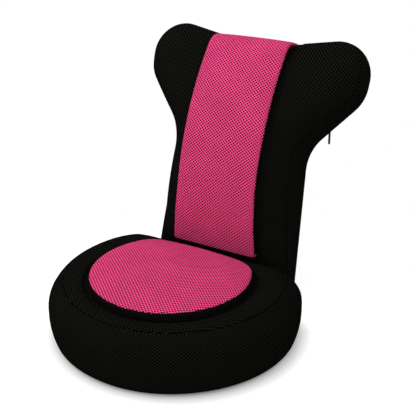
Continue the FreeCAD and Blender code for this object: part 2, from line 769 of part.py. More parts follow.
def cheek(x):
    """One steel side plate of the hinge, about (up, forward), fixed to the seat's tube."""
    corner = CHEEK_RADIUS * (1 - PIN_FIT * PIN_FIT)
    half = [
        (CHEEK_RADIUS, -CHEEK_RADIUS, corner),
        (CHEEK_RADIUS, CHEEK_NECK, CHEEK_ROUND),
        (CHEEK_TAIL_HALF, CHEEK_REACH, CHEEK_ROUND),
    ]
    outline = rounded_wire(half + [(-u, v, radius) for u, v, radius in reversed(half)])
    plate = plate_x(outline, x, CHEEK_SKIN / 2)
    pin = hinge_place(pawl_pivot())
    spring = spring_pin_place()
    bores = [
        (0, 0, PIVOT_RADIUS),
        (pin.x, pin.y, PAWL_PIN_RADIUS),
        (spring.x, spring.y, SPRING_PIN_RADIUS),
    ]
    bores += [(0, setback, RIVET_RADIUS) for setback in SEAT_RIVET_SETBACKS]
    for u, v, radius in bores:
        plate = plate.cut(disc_x(x, CHEEK_SKIN, u, v, radius + PIN_FIT))
    return plate


def sleeve_pair(x, place, pin_radius):
    """Two spacers on a pin, one each side of the plate in the middle."""
    room = CHEEK_INNER - RATCHET_SKIN / 2
    half = room / 2 - FLAT_PLAY
    sleeves = []
    for end in (-1, 1):
        middle = x + end * (RATCHET_SKIN / 2 + room / 2)
        ring = disc_x(middle, half, place.x, place.y, pin_radius + PIN_FIT + SPACER_WALL)
        sleeves.append(ring.cut(disc_x(middle, room, place.x, place.y, pin_radius + PIN_FIT)))
    return sleeves


def headed_pin(x, place, radius, head_radius):
    pin = disc_x(x, CHEEK_OUTER + HEAD_SKIN, place.x, place.y, radius)
    for end in (-1, 1):
        head = x + end * (CHEEK_OUTER + HEAD_SKIN / 2)
        pin = pin.fuse(disc_x(head, HEAD_SKIN / 2, place.x, place.y, head_radius))
    return pin.removeSplitter()


def pawl_spring(x):
    """A leaf on its pin, pressing up under the pawl behind its eye."""
    pin = spring_pin_place()
    corners = pawl_corners()
    far, heel = corners[3], corners[4]
    touch = hinge_place(far + (heel - far).normalize() * SPRING_TOUCH)
    seat = pin.x + SPRING_PIN_RADIUS + SOFT_GAP
    ahead = pin.y + SPRING_PIN_RADIUS
    press = touch.x - SOFT_GAP
    outline = [
        Vector(seat, ahead, 0),
        Vector(seat + SPRING_SKIN, ahead, 0),
        Vector(press, touch.y, 0),
        Vector(press - SPRING_SKIN, touch.y, 0),
    ]
    return plate_x(Part.makePolygon(outline + outline[:1]), x, SPRING_WIDTH / 2)


def hinge_parts(name, side):
    """The pieces of one hinge: the seat's, drawn upright, and the back's, drawn leaning."""
    x = side * HINGE_X
    offset = CHEEK_INNER + CHEEK_SKIN / 2
    pawl_pin = hinge_place(pawl_pivot())
    rivets = []
    for setback in SEAT_RIVET_SETBACKS:
        rivets.append(rivet(x, CHEEK_OUTER, 0, setback))
    arm_rivets = [rivet(x, TUBE_RADIUS, s, 0) for s in BACK_RIVET_SS]
    spacers = sleeve_pair(x, Vector(0, 0, 0), PIVOT_RADIUS) + sleeve_pair(x, pawl_pin, PAWL_PIN_RADIUS)
    pins = [
        headed_pin(x, pawl_pin, PAWL_PIN_RADIUS, PAWL_PIN_RADIUS + HEAD_SKIN),
        headed_pin(x, spring_pin_place(), SPRING_PIN_RADIUS, SPRING_PIN_RADIUS + HEAD_SKIN / 2),
    ]
    seat_side = {
        "hinge_outer_cheek": cheek(x + side * offset),
        "hinge_inner_cheek": cheek(x - side * offset),
        "hinge_pivot_pin": headed_pin(x, Vector(0, 0, 0), PIVOT_RADIUS, PIVOT_HEAD_RADIUS),
        "hinge_spacers": group(spacers),
        "pawl_pins": group(pins),
        "pawl_spring": pawl_spring(x),
        "cheek_rivets": group(rivets),
    }
    back_side = {
        "ratchet_plate": ratchet_plate(x),
        "ratchet_rivets": group(arm_rivets),
        "pawl": pawl(x),
    }
    placed = {f"{key}_{name}": upright(shape) for key, shape in seat_side.items()}
    placed.update({f"{key}_{name}": lean_back(shape) for key, shape in back_side.items()})
    return placed


# Zip


def zip_parts():
    """The tape in the rear panel's slit, its coil, its end stops and the slider on it."""
    face = -BACK_REAR
    tape = slab(
        Vector(-ZIP_HALF_LENGTH, ZIP_S - ZIP_TAPE_HALF, face),
        Vector(ZIP_HALF_LENGTH, ZIP_S + ZIP_TAPE_HALF, face + ZIP_TAPE_SKIN),
    )
    coil_end = ZIP_HALF_LENGTH - ZIP_STOP_LENGTH
    coil_top = face - ZIP_COIL_HEIGHT
    coil = slab(
        Vector(-coil_end, ZIP_S - ZIP_COIL_HALF, coil_top),
        Vector(coil_end, ZIP_S + ZIP_COIL_HALF, face),
    )
    stops = []
    for end in (-1, 1):
        near = min(end * coil_end, end * ZIP_HALF_LENGTH)
        stop_low = Vector(near, ZIP_S - ZIP_COIL_HALF, coil_top)
        stops.append(slab(stop_low, Vector(near + ZIP_STOP_LENGTH, ZIP_S + ZIP_COIL_HALF, face)))
    channel = ZIP_COIL_HALF + SLIDER_PLAY
    roof_low = coil_top - SLIDER_PLAY
    roof_top = roof_low - SLIDER_ROOF
    rest = slider_rest_x()
    half = SLIDER_LENGTH / 2
    slider = slab(
        Vector(rest - half, ZIP_S - SLIDER_HALF, roof_top),
        Vector(rest + half, ZIP_S + SLIDER_HALF, face - SLIDER_PLAY),
    )
    slider = slider.cut(
        slab(
            Vector(rest - SLIDER_LENGTH, ZIP_S - channel, roof_low),
            Vector(rest + SLIDER_LENGTH, ZIP_S + channel, face),
        )
    )
    bail = bail_axis()
    for end in (-1, 1):
        foot = Vector(rest + end * BAIL_HALF_SPAN, ZIP_S, roof_top + SLIDER_ROOF / 2)
        post = Part.makeCylinder(BAIL_WIRE, foot.z - bail.z, foot, Z_AXIS * -1)
        slider = slider.fuse(post)
    slider = slider.fuse(disc_x(rest, BAIL_HALF_SPAN + BAIL_WIRE, ZIP_S, bail.z, BAIL_WIRE))
    return {
        "zip_tape": tape,
        "zip_coil": coil,
        "zip_stops": group(stops),
        "zip_slider": slider.removeSplitter(),
    }


def slider_rest_x():
    return ZIP_HALF_LENGTH - ZIP_STOP_LENGTH - SLIDER_LENGTH / 2 - SLIDER_PLAY


def bail_axis():
    """The middle of the slider's cross wire, in the back's axes."""
    roof_top = -BACK_REAR - ZIP_COIL_HEIGHT - SLIDER_PLAY - SLIDER_ROOF
    return Vector(slider_rest_x(), ZIP_S, roof_top - BAIL_RISE)


def zip_pull():
    """A slim tab that hangs straight down from the slider's wire."""
    turn = math.radians(REST_LEAN)
    bail = bail_axis()
    y = HINGE_Y + bail.y * math.sin(turn) - bail.z * math.cos(turn)
    z = HINGE_Z + bail.y * math.cos(turn) + bail.z * math.sin(turn)
    bore = BAIL_WIRE + PULL_EYE_PLAY
    eye = bore + PULL_SKIN
    half = PULL_SKIN / 2
    span = min(PULL_HALF, BAIL_HALF_SPAN - BAIL_WIRE - PULL_EYE_PLAY)
    tab_low = Vector(bail.x - PULL_HALF, y - half, z - PULL_LENGTH)
    tab = slab(tab_low, Vector(bail.x + PULL_HALF, y + half, z - eye))
    rounded = [e for e in tab.Edges if is_along(e, Y_AXIS) and e.BoundBox.ZMax < z - PULL_LENGTH / 2]
    tab = tab.makeFillet(PULL_HALF * (1 - PIN_FIT), rounded)
    tab = tab.fuse(slab(Vector(bail.x - span, y - half, z - eye), Vector(bail.x + span, y + half, z)))
    tab = tab.fuse(disc_x(bail.x, span, y, z, eye))
    tab = tab.cut(disc_x(bail.x, 2 * span, y, z, bore))
    print("zip pull hinge at", round(bail.x, 3), round(y, 3), round(z, 3))
    return tab.removeSplitter()


# Cloth in the crease between seat and back


def crease_cloth():
    """A slung fold that closes the crease, in three strips beside and between the hinges."""
    turn = math.radians(REST_LEAN)

    def bolster_yz(s):
        n = bolster_n(s)
        y = HINGE_Y + s * math.sin(turn) - n * math.cos(turn)
        return y, HINGE_Z + s * math.cos(turn) + n * math.sin(turn)

    foot_y, foot_z = bolster_yz(0)
    high_y, high_z = bolster_yz(BACK_PAD_FOOT_S - CREASE_CLOTH - SOFT_GAP)
    top = SEAT_TOP - COVER_SKIN
    front = SEAT_REAR + SOFT_GAP
    slope = (high_y - foot_y) / (high_z - foot_z)
    rear_corner = math.pi / 2 + math.atan(slope)
    share = (1 - PIN_FIT) / (1 + 1 / math.tan(rear_corner / 2))

    def fold(inset):
        """The filled outline of the fold, in (y, z), drawn in by inset on all but its open top."""
        bottom = foot_z + inset
        low_y = foot_y - CREASE_GAP - inset
        radius = (low_y - front - inset) * share
        rise = top - foot_z
        return rounded_wire(
            [
                (front + inset, top, 0),
                (front + inset, bottom, radius),
                (low_y, bottom, radius),
                (low_y + slope * rise, top, 0),
            ]
        )

    strips = []
    inner_half = HINGE_X - POCKET_HALF - SOFT_GAP
    outer_low = HINGE_X + POCKET_HALF + SOFT_GAP
    outer_high = FOOT_HALF - BACK_EDGE / 2
    for low, high in ((-inner_half, inner_half), (outer_low, outer_high), (-outer_high, -outer_low)):
        outer = across(fold(0), 0, FAR)
        strip = outer.cut(across(fold(CREASE_CLOTH), 0, FAR))
        strip = strip.common(slab(Vector(low, -FAR, -FAR), Vector(high, FAR, FAR)))
        middle = (front + foot_y) / 2
        strip = strip.cut(slab(Vector(-FAR, middle, high_z), Vector(FAR, FAR, FAR)))
        strips.append(largest(strip))
    return group(strips)


def main():
    parts = {}
    parts.update(seat_soft_parts())
    parts.update(seat_pad_parts())
    parts.update(seat_frame_parts())
    back = back_soft_parts(back_block(0))
    back.update(back_pad_parts())
    back.update(back_frame_parts())
    back.update(zip_parts())
    parts.update({name: lean_back(shape) for name, shape in back.items()})
    for name, side in SIDES.items():
        parts.update(hinge_parts(name, side))
    parts["zip_pull"] = zip_pull()
    parts["crease_cloth"] = crease_cloth()
    os.makedirs("parts", exist_ok=True)
    for name, shape in parts.items():
        box = shape.BoundBox
        size = f"{box.XLength:.1f} x {box.YLength:.1f} x {box.ZLength:.1f} mm"
        print(f"{name}: {len(shape.Solids)} solids, valid {shape.isValid()}, {size}")
        shape.exportStep(f"parts/{name}.step")


main()
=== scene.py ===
# %% [markdown]
# # A floor gaming chair in air mesh
# The chair is a round stuffed seat on the floor, a stuffed back with two head wings, and a pink
# panel on each. The imported CAD part gives the fixed frame: where every body is, and how it moves.
# This lesson dresses it.

# %% Load the imported part
import math

import bpy
import numpy as np
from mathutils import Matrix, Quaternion


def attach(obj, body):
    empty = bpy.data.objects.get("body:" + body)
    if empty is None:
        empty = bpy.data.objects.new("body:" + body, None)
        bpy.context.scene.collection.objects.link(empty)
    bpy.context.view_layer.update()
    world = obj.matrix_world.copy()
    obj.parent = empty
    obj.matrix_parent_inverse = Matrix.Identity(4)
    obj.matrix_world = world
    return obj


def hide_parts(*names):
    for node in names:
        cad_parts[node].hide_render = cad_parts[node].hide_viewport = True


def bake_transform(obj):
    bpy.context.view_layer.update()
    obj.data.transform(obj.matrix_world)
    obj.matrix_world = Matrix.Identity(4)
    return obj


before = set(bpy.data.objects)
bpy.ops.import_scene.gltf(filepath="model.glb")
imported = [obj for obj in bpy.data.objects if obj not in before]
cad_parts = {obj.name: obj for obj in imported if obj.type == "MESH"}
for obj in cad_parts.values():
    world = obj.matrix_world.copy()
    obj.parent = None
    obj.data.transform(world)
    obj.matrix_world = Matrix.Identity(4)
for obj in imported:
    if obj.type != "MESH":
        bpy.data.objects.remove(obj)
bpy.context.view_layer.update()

# %% [markdown]
# ## A camera where the photographer stood
# The camera could be placed by eye. Here its place, turn and lens were solved from the seat's round
# rim, the straight edges of the pink panel and the wings, so the render lies over the photograph.

# %% Camera
EYE_PLACE, EYE_LENS, EYE_SENSOR = (0.9451, -1.38603, 1.02093), 73.64, 36.0
EYE_TURN, EYE_TILT, EYE_ROLL = (math.radians(angle) for angle in (31.75, 90 - 23.47, -0.35))
UPWARD, RIGHTWARD = (0, 0, 1), (1, 0, 0)

eye = bpy.data.objects.new("eye", bpy.data.cameras.new("eye"))
eye.data.sensor_width = EYE_SENSOR
eye.data.lens = EYE_LENS
eye.location = EYE_PLACE
eye.rotation_mode = "QUATERNION"
level = Quaternion(UPWARD, EYE_TURN) @ Quaternion(RIGHTWARD, EYE_TILT)
eye.rotation_quaternion = level @ Quaternion(UPWARD, EYE_ROLL)
bpy.context.scene.collection.objects.link(eye)
bpy.context.scene.camera = eye
bpy.context.scene.view_settings.view_transform = "Standard"
print("camera lens", eye.data.lens)

# %% [markdown]
# ## Stuffed forms from distance fields
# Foam under stretched cloth has no sharp edge anywhere: edges roll over, seams draw the cloth in.
# Such forms could be sculpted, or lofted ring by ring, but the wings, horns and slots make rings
# awkward. A distance field is easier: a function that is negative inside the form and grows
# outside it. Two forms meet with a rounded edge, and a seam is a thin tube taken away softly.
# All the lengths in these functions are millimetres.

# %% Field helpers
def rounded_meet(a, b, radius):
    """What is inside both forms, with the edge between them rolled over at that radius."""
    over = np.hypot(np.maximum(a + radius, 0), np.maximum(b + radius, 0))
    return np.minimum(np.maximum(a, b), -radius) + over


def drawn_in(form, thread, softness):
    """The form pulled in along a thread, so that the cloth dips softly to the seam."""
    share = np.clip(0.5 - 0.5 * (form + thread) / softness, 0, 1)
    return form * (1 - share) - thread * share + softness * share * (1 - share)


def soft_least(a, b, softness):
    """The lesser of two values, with the corner between them rounded."""
    share = np.clip(0.5 + 0.5 * (b - a) / softness, 0, 1)
    return b * (1 - share) + a * share - softness * share * (1 - share)


# From this half angle, in radians, a corner counts as straight. A shorter edge than tiny is left out.
STRAIGHT, TINY = 1.57, 1e-9


def outline_points(corners, spacing=5.0):
    """A closed outline through (u, v, radius) corners, each rounded by a tangent arc."""
    points = []
    for index, (u, v, radius) in enumerate(corners):
        here = np.array([u, v], float)
        before = np.array(corners[index - 1][:2], float) - here
        after = np.array(corners[(index + 1) % len(corners)][:2], float) - here
        before /= np.linalg.norm(before)
        after /= np.linalg.norm(after)
        half = math.acos(float(np.clip(before @ after, -1, 1))) / 2
        if radius == 0 or half > STRAIGHT:
            points.append(here)
            continue
        middle = before + after
        middle = here + middle / np.linalg.norm(middle) * radius / math.sin(half)
        start = here + before * radius / math.tan(half) - middle
        finish = here + after * radius / math.tan(half) - middle
        turn = math.pi - 2 * half
        steps = max(2, int(turn * radius / spacing))
        for step in range(steps + 1):
            share = step / steps
            arm = math.sin(turn * (1 - share)) * start + math.sin(turn * share) * finish
            points.append(middle + arm / math.sin(turn))
    return np.array(points)


def outline_field(points):
    """A function of (u, v): the distance from a closed outline, and the length along it."""
    ends = np.roll(points, -1, axis=0)
    lengths = np.linalg.norm(ends - points, axis=1)
    starts = np.concatenate([[0], np.cumsum(lengths)[:-1]])

    def field(u, v):
        u, v = np.broadcast_arrays(u, v)
        nearest = np.full(u.shape, np.inf)
        along = np.zeros(u.shape)
        inside = np.zeros(u.shape, bool)
        for (au, av), (bu, bv), length, start in zip(points, ends, lengths, starts):
            if length < TINY:
                continue
            share = np.clip(((u - au) * (bu - au) + (v - av) * (bv - av)) / length**2, 0, 1)
            gap = np.hypot(u - au - share * (bu - au), v - av - share * (bv - av))
            closer = gap < nearest
            nearest = np.where(closer, gap, nearest)
            along = np.where(closer, start + share * length, along)
            if av != bv:
                level = (av > v) != (bv > v)
                inside ^= level & (u < (bu - au) * (v - av) / (bv - av) + au)
        return np.where(inside, -nearest, nearest), along

    return field


print("field helpers ready")

# %% [markdown]
# ## From a field to a mesh
# Blender's metaballs or its voxel remesh could turn a form into faces. Both lose the place of the
# seams, so this lesson uses surface nets: each cell of a grid that the surface crosses gets one
# point, the points of neighbouring cells are joined by quads, and each point is then slid along
# the field's slope until it lies on the surface. The result is an even quad mesh, like fine cloth.

# %% Surface nets
SLOPE_STEP, SLIDES, LEAST_STEEPNESS = 0.25, 3, 0.05


def slope_of(field, points):
    """The field's slope at each point, from small steps to both sides."""
    slope = np.zeros_like(points)
    for axis in range(3):
        step = np.zeros(3)
        step[axis] = SLOPE_STEP
        slope[:, axis] = (field(*(points + step).T) - field(*(points - step).T)) / (2 * SLOPE_STEP)
    return slope


def cell_points(value):
    """Which cells the surface crosses, and its middle in each, in cells from the grid's corner."""
    shape = tuple(n - 1 for n in value.shape)
    total, count = np.zeros(shape + (3,)), np.zeros(shape)
    for axis in range(3):
        b, c = (axis + 1) % 3, (axis + 2) % 3
        for side_b in (0, 1):
            for side_c in (0, 1):
                cut = [slice(None)] * 3
                cut[b] = slice(side_b, side_b + shape[b])
                cut[c] = slice(side_c, side_c + shape[c])
                cut[axis] = slice(0, -1)
                first = value[tuple(cut)]
                cut[axis] = slice(1, None)
                second = value[tuple(cut)]
                crossed = (first < 0) != (second < 0)
                share = np.where(crossed, first / np.where(crossed, first - second, 1), 0)
                total[..., axis] += share
                total[..., b] += crossed * side_b
                total[..., c] += crossed * side_c
                count += crossed
    live = count > 0
    return live, np.argwhere(live) + total[live] / count[live][:, None]


def cell_quads(value, live):
    """A quad across each grid edge that the surface crosses, between the four cells round it."""
    number = np.full(live.shape, -1)
    number[live] = np.arange(live.sum())
    quads = []
    for axis in range(3):
        b, c = (axis + 1) % 3, (axis + 2) % 3
        cut = [slice(None)] * 3
        cut[b] = cut[c] = slice(1, -1)
        cut[axis] = slice(0, -1)
        first = value[tuple(cut)] < 0
        cut[axis] = slice(1, None)
        second = value[tuple(cut)] < 0
        for wanted, order in ((first & ~second, (0, 1, 2, 3)), (second & ~first, (3, 2, 1, 0))):
            place = np.argwhere(wanted)
            around = []
            for step_b, step_c in ((0, 0), (1, 0), (1, 1), (0, 1)):
                cells = place.copy()
                cells[:, b] += step_b
                cells[:, c] += step_c
                around.append(number[tuple(cells.T)])
            quads.append(np.stack([around[i] for i in order], axis=1))
    return np.concatenate(quads)


def surface_net(field, low, high, cell):
    """Points and quads of the surface where the field is zero, in the room between two corners."""
    axes = [np.arange(a - 2 * cell, b + 3 * cell, cell) for a, b in zip(low, high)]
    value = field(*np.meshgrid(*axes, indexing="ij", sparse=True))
    value = np.broadcast_to(value, [len(a) for a in axes])
    live, places = cell_points(value)
    points = np.array([a[0] for a in axes]) + places * cell
    for _ in range(SLIDES):
        slope = slope_of(field, points)
        steep = np.maximum((slope**2).sum(1), LEAST_STEEPNESS)
        points = points - slope * (field(*points.T) / steep)[:, None]
    return points, cell_quads(value, live)


print("surface nets ready")

# %% [markdown]
# ## Places on the chair
# The seat is drawn in the row frame. The back leans, so it has axes of its own, as in the CAD
# source: x across, s up along the back from the hinge, n forward. The finished objects could be
# turned instead, but points that all lie in one frame are easier to compare, so a function leans them.

# %% From drawing to chair
HINGE_Y, HINGE_Z, LEAN = 197.0, 60.0, math.radians(18)


def leaning(points):
    """Back axes (x, s, n) in millimetres to the row frame in metres."""
    x, s, n = np.asarray(points, float).T
    y = HINGE_Y + s * math.sin(LEAN) - n * math.cos(LEAN)
    z = HINGE_Z + s * math.cos(LEAN) + n * math.sin(LEAN)
    return np.stack([x, y, z], axis=1) / 1000


def standing(points):
    """Row frame in millimetres to metres."""
    return np.asarray(points, float) / 1000


def make_piece(name, points, faces, weave=None):
    """A smooth-shaded object from points in metres, with the cloth's own coordinates on it."""
    mesh = bpy.data.meshes.new(name)
    mesh.from_pydata([tuple(p) for p in points], [], [tuple(int(i) for i in f) for f in faces])
    mesh.polygons.foreach_set("use_smooth", [True] * len(mesh.polygons))
    if weave is not None:
        cloth = np.zeros((len(points), 3), np.float32)
        cloth[:, :2] = np.asarray(weave) / 1000
        layer = mesh.attributes.new("weave", "FLOAT_VECTOR", "POINT")
        layer.data.foreach_set("vector", cloth.ravel())
    mesh.update()
    piece = bpy.data.objects.new(name, mesh)
    bpy.context.scene.collection.objects.link(piece)
    print(name, len(points), "points", len(faces), "faces")
    return piece


def wrapped(depth, radius):
    """How much further cloth reaches than its plan does, this far down over a rolled edge."""
    roll = np.arccos(np.clip(1 - np.clip(depth, 0, radius) / radius, -1, 1))
    return radius * (roll - np.sin(roll)) + np.maximum(depth - radius, 0)


def wrapped_weave(plan, u, v, depth, radius):
    """Cloth coordinates that run on over the rolled edge of a plan's outline."""
    out_u = (plan(u + SLOPE_STEP, v) - plan(u - SLOPE_STEP, v)) / (2 * SLOPE_STEP)
    out_v = (plan(u, v + SLOPE_STEP) - plan(u, v - SLOPE_STEP)) / (2 * SLOPE_STEP)
    extra = wrapped(depth, radius)
    return np.stack([u + out_u * extra, v + out_v * extra], axis=1)


print("the back leans by", round(math.degrees(LEAN)), "degrees")

# %% [markdown]
# ## The round seat
# On the real chair this is a foam drum in a black air-mesh cover: barrel sides, a wide rolled
# shoulder, a stuffed ring that swells round the raised pad, and a rear wall that stands against the
# back. It could be lathed and cut, but then the rear would have hard edges. As a field, the barrel
# and the rear cuts meet with rolled edges, and the crease round the pad is one thread drawn in.
# The cover is sewn from a ring on top and a band round the side, whose meshes run different ways,
# so a cone through the shoulder seam parts the drum into two pieces.

# %% Seat form
SEAT_RADIUS, SEAT_BELLY, SEAT_TOP, SEAT_SHOULDER = 279.0, 62.0, 131.0, 56.0
SEAT_BREADTH, SEAT_LOWER_ROUND = 1.018, 160.0
RING_SWELL, RING_HALF = 8.0, 42.0
SEAT_HEM, HEM_ROUND = 3.4, 7.0
SEAT_REAR, NOTCH_HALF, NOTCH_CORNER, NOTCH_ROUND = 138.0, 198.5, 18.0, 15.0
HORN_END, HORN_ROUND = 148.0, 13.0
PAD_RADIUS, PAD_MIDDLE, PAD_REAR, PAD_CORNER = 182.0, -16.5, 109.0, 30.0
PAD_THREAD_OUT, PAD_THREAD_DOWN, PAD_THREAD, PAD_THREAD_SOFT = 4.5, 1.0, 5.5, 9.0


def pad_plan(x, y):
    """The D-shaped plan of the raised seat pad."""
    return rounded_meet(np.hypot(x, y - PAD_MIDDLE) - PAD_RADIUS, y - PAD_REAR, PAD_CORNER)


def seat_form(x, y, z):
    radius = np.hypot(x / SEAT_BREADTH, y)
    border = pad_plan(x, y)
    ring = RING_SWELL * np.clip(1 - ((border - RING_HALF) / RING_HALF) ** 2, 0, 1)
    upper = rounded_meet(radius - SEAT_RADIUS, z - SEAT_TOP - ring, SEAT_SHOULDER)
    lower = np.hypot(radius - SEAT_RADIUS + SEAT_LOWER_ROUND, z - SEAT_BELLY) - SEAT_LOWER_ROUND
    drum = np.where(z > SEAT_BELLY, upper, lower)
    drum = rounded_meet(drum, SEAT_HEM - z, HEM_ROUND)
    notch = soft_least(NOTCH_HALF - np.abs(x), y - SEAT_REAR, NOTCH_CORNER)
    drum = rounded_meet(drum, notch, NOTCH_ROUND)
    drum = rounded_meet(drum, y - HORN_END, HORN_ROUND)
    thread = np.hypot(border - PAD_THREAD_OUT, z - SEAT_TOP + PAD_THREAD_DOWN) - PAD_THREAD
    return drawn_in(drum, thread, PAD_THREAD_SOFT)


seat_width = round(2 * SEAT_RADIUS * SEAT_BREADTH)
print("seat", seat_width, "mm wide, its ring up to", SEAT_TOP + RING_SWELL, "mm high")

# %% Seat ring and side band
SHOULDER_IN, SHOULDER_UP = 33.0, 2.0
SEAM_GAP, SEAM_ROUND = 0.15, 1.1


def shoulder_seam(x, y, z):
    """Positive outside the cone that runs through the seam on the shoulder."""
    inward = np.hypot(x / SEAT_BREADTH, y) - SEAT_RADIUS + SHOULDER_IN
    return (inward - z + SEAT_TOP + SHOULDER_UP) * math.sqrt(0.5)


def seat_ring_form(x, y, z):
    return rounded_meet(seat_form(x, y, z), shoulder_seam(x, y, z) + SEAM_GAP, SEAM_ROUND)


def seat_band_form(x, y, z):
    return rounded_meet(seat_form(x, y, z), SEAM_GAP - shoulder_seam(x, y, z), SEAM_ROUND)


def barrel_length(z):
    """How far up the barrel's curved side a height lies, measured along the cloth."""
    rolled = np.clip((z - SEAT_TOP) / SEAT_SHOULDER + 1, 0, 1)
    tucked = np.clip((SEAT_BELLY - z) / SEAT_LOWER_ROUND, 0, 1)
    wall = np.clip(z, SEAT_BELLY, SEAT_TOP - SEAT_SHOULDER)
    return wall + SEAT_SHOULDER * np.arcsin(rolled) - SEAT_LOWER_ROUND * np.arcsin(tucked)


COVER_CELL = 4.2
SEAT_ROOM = (-288, -284, 0), (288, 152, 142)
points, quads = surface_net(seat_ring_form, *SEAT_ROOM, COVER_CELL)
depth = SEAT_TOP - points[:, 2]
weave = wrapped_weave(np.hypot, points[:, 0], points[:, 1], depth, SEAT_SHOULDER)
seat_ring = make_piece("seat_top_ring", standing(points), quads, weave)
points, quads = surface_net(seat_band_form, *SEAT_ROOM, COVER_CELL)
around = np.arctan2(points[:, 0], -points[:, 1]) * SEAT_RADIUS
weave = np.stack([around, barrel_length(points[:, 2])], axis=1)
seat_band = make_piece("seat_side_band", standing(points), quads, weave)
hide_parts("seat_cover", "seat_upper_foam")
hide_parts("seat_edge_foam", "seat_lower_foam")
for piece in (seat_ring, seat_band):
    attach(piece, "seat")

# %% [markdown]
# ## Cloth under pressure
# A stuffed panel isn't a drawn arc: the filling presses on the cloth, which gives most where it is
# furthest from a seam. It could be sculpted, but Blender's Cloth with pressure does it as the real
# cover does. The points along the seams and underneath are pinned, gravity is off because the foam
# carries the cloth, and the reach of each point is eased off towards a cap, so that a panel stays in
# the room that its foam leaves. Each panel is drawn a little flat beforehand and swells from there.

# %% Swelling by simulation
SWELL_FRAMES, SWELL_PRESSURE, CLOTH_STIFFNESS = 20, 14.0, 3.0


def point_places(mesh):
    places = np.zeros(len(mesh.vertices) * 3)
    mesh.vertices.foreach_get("co", places)
    return places.reshape(-1, 3)


def swell(piece, sewn, cap):
    """Swells a closed piece by cloth simulation, its sewn points pinned; cap is in millimetres."""
    before = point_places(piece.data)
    pins = piece.vertex_groups.new(name="sewn")
    pins.add([int(i) for i in np.flatnonzero(sewn)], 1.0, "REPLACE")
    cover = piece.modifiers.new("cover", "CLOTH")
    cover.settings.use_pressure = True
    cover.settings.uniform_pressure_force = SWELL_PRESSURE
    cover.settings.tension_stiffness = CLOTH_STIFFNESS
    cover.settings.compression_stiffness = CLOTH_STIFFNESS
    cover.settings.shear_stiffness = CLOTH_STIFFNESS
    cover.settings.vertex_group_mass = pins.name
    cover.settings.effector_weights.gravity = 0
    cover.point_cache.frame_end = SWELL_FRAMES
    for moment in range(1, SWELL_FRAMES + 1):
        bpy.context.scene.frame_set(moment)
    swollen = piece.evaluated_get(bpy.context.evaluated_depsgraph_get())
    move = point_places(swollen.data) - before
    piece.modifiers.remove(cover)
    piece.vertex_groups.remove(pins)
    bpy.context.scene.frame_set(1)
    far = np.maximum(np.linalg.norm(move, axis=1, keepdims=True), TINY) * 1000
    move *= cap * np.tanh(far / cap) / far
    piece.data.vertices.foreach_set("co", (before + move).ravel())
    piece.data.update()
    print(piece.name, "swelled by up to", round(float(far.max()), 1), "mm before the cap")


print("swelling runs for", SWELL_FRAMES, "frames")

# %% [markdown]
# ## The raised seat pad
# The pink panel is sewn to a black strip that stands on the drum. Both could be one mesh with two
# materials. They are two closed pieces here, because they are two cloths with a seam between them:
# the strip bulges a little between its seams, and the panel is crowned like a full cushion.

# %% Seat pad
PAD_CROWN, PAD_CROWN_ROUND, PAD_SEAM, PAD_SWELL = 160.5, 1400.0, 146.0, 6.0
STRIP_FOOT, STRIP_BULGE_FOOT, STRIP_BULGE, STRIP_IN, STRIP_ROUND = 117.0, 121.0, 1.6, 1.4, 3.0


def pad_strip_form(x, y, z):
    share = np.clip((z - STRIP_BULGE_FOOT) / (PAD_SEAM - STRIP_BULGE_FOOT), 0, 1)
    bulge = STRIP_BULGE * np.sin(share * math.pi)
    side = rounded_meet(pad_plan(x, y) + STRIP_IN - bulge, z - PAD_SEAM - 1, STRIP_ROUND)
    return rounded_meet(side, STRIP_FOOT - z, STRIP_ROUND)


PANEL_ROUND, PANEL_TUCK, TUCK_SLOPE, PANEL_HEM = 10.0, 9.0, 0.9, 1.6


def pad_panel_form(x, y, z):
    border = pad_plan(x, y)
    crown = PAD_CROWN - (x**2 + (y - PAD_MIDDLE) ** 2) / (2 * PAD_CROWN_ROUND)
    top = rounded_meet(border, z - crown, PANEL_ROUND)
    under = PAD_SEAM - TUCK_SLOPE * np.clip(-border, 0, PANEL_TUCK) - z
    return rounded_meet(top, under, PANEL_HEM)


STRIP_ROOM = (-186, -206, STRIP_FOOT), (186, 112, 149)
points, quads = surface_net(pad_strip_form, *STRIP_ROOM, COVER_CELL)
weave = wrapped_weave(pad_plan, points[:, 0], points[:, 1], PAD_SEAM - points[:, 2], STRIP_ROUND)
pad_strip = make_piece("seat_pad_band", standing(points), quads, weave)
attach(pad_strip, "seat")
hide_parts("seat_pad_strip", "seat_pad_foam")

PANEL_ROOM = (-186, -206, 133), (186, 112, 167)
PANEL_CELL, PANEL_EDGE_Z, PANEL_UNDER_Z = 4.0, 150.0, 142.5
points, quads = surface_net(pad_panel_form, *PANEL_ROOM, PANEL_CELL)
weave = wrapped_weave(pad_plan, points[:, 0], points[:, 1], PANEL_EDGE_Z - points[:, 2], PANEL_ROUND)
seat_panel = make_piece("seat_pink_panel", standing(points), quads, weave)
sewn = (pad_plan(points[:, 0], points[:, 1]) > -PANEL_TUCK) | (points[:, 2] < PANEL_UNDER_Z)
swell(seat_panel, sewn, PAD_SWELL)
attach(seat_panel, "seat")
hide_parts("seat_top_panel")

# %% [markdown]
# ## The winged back
# The back is a thick slab with a neck and two ear-like head wings under a black cover. Its plan is
# one outline with large round corners, and its front is arched. The front edges roll over nearly the
# whole thickness, while the rear ones are tighter. It could be a subdivided cage, but such a cage
# pinches where the neck meets the wings. As a field, the same outline gives plan, rolls and seams.

# %% Back outline and section
BACK_REAR, REAR_SEAM, FOOT_S = 50.0, -20.0, -36.0
BELLY_S, BELLY_N, FRONT_ROUND = 289.0, 80.5, 684.0


def with_mirror(half):
    return half + [(-u, v, radius) for u, v, radius in reversed(half)]


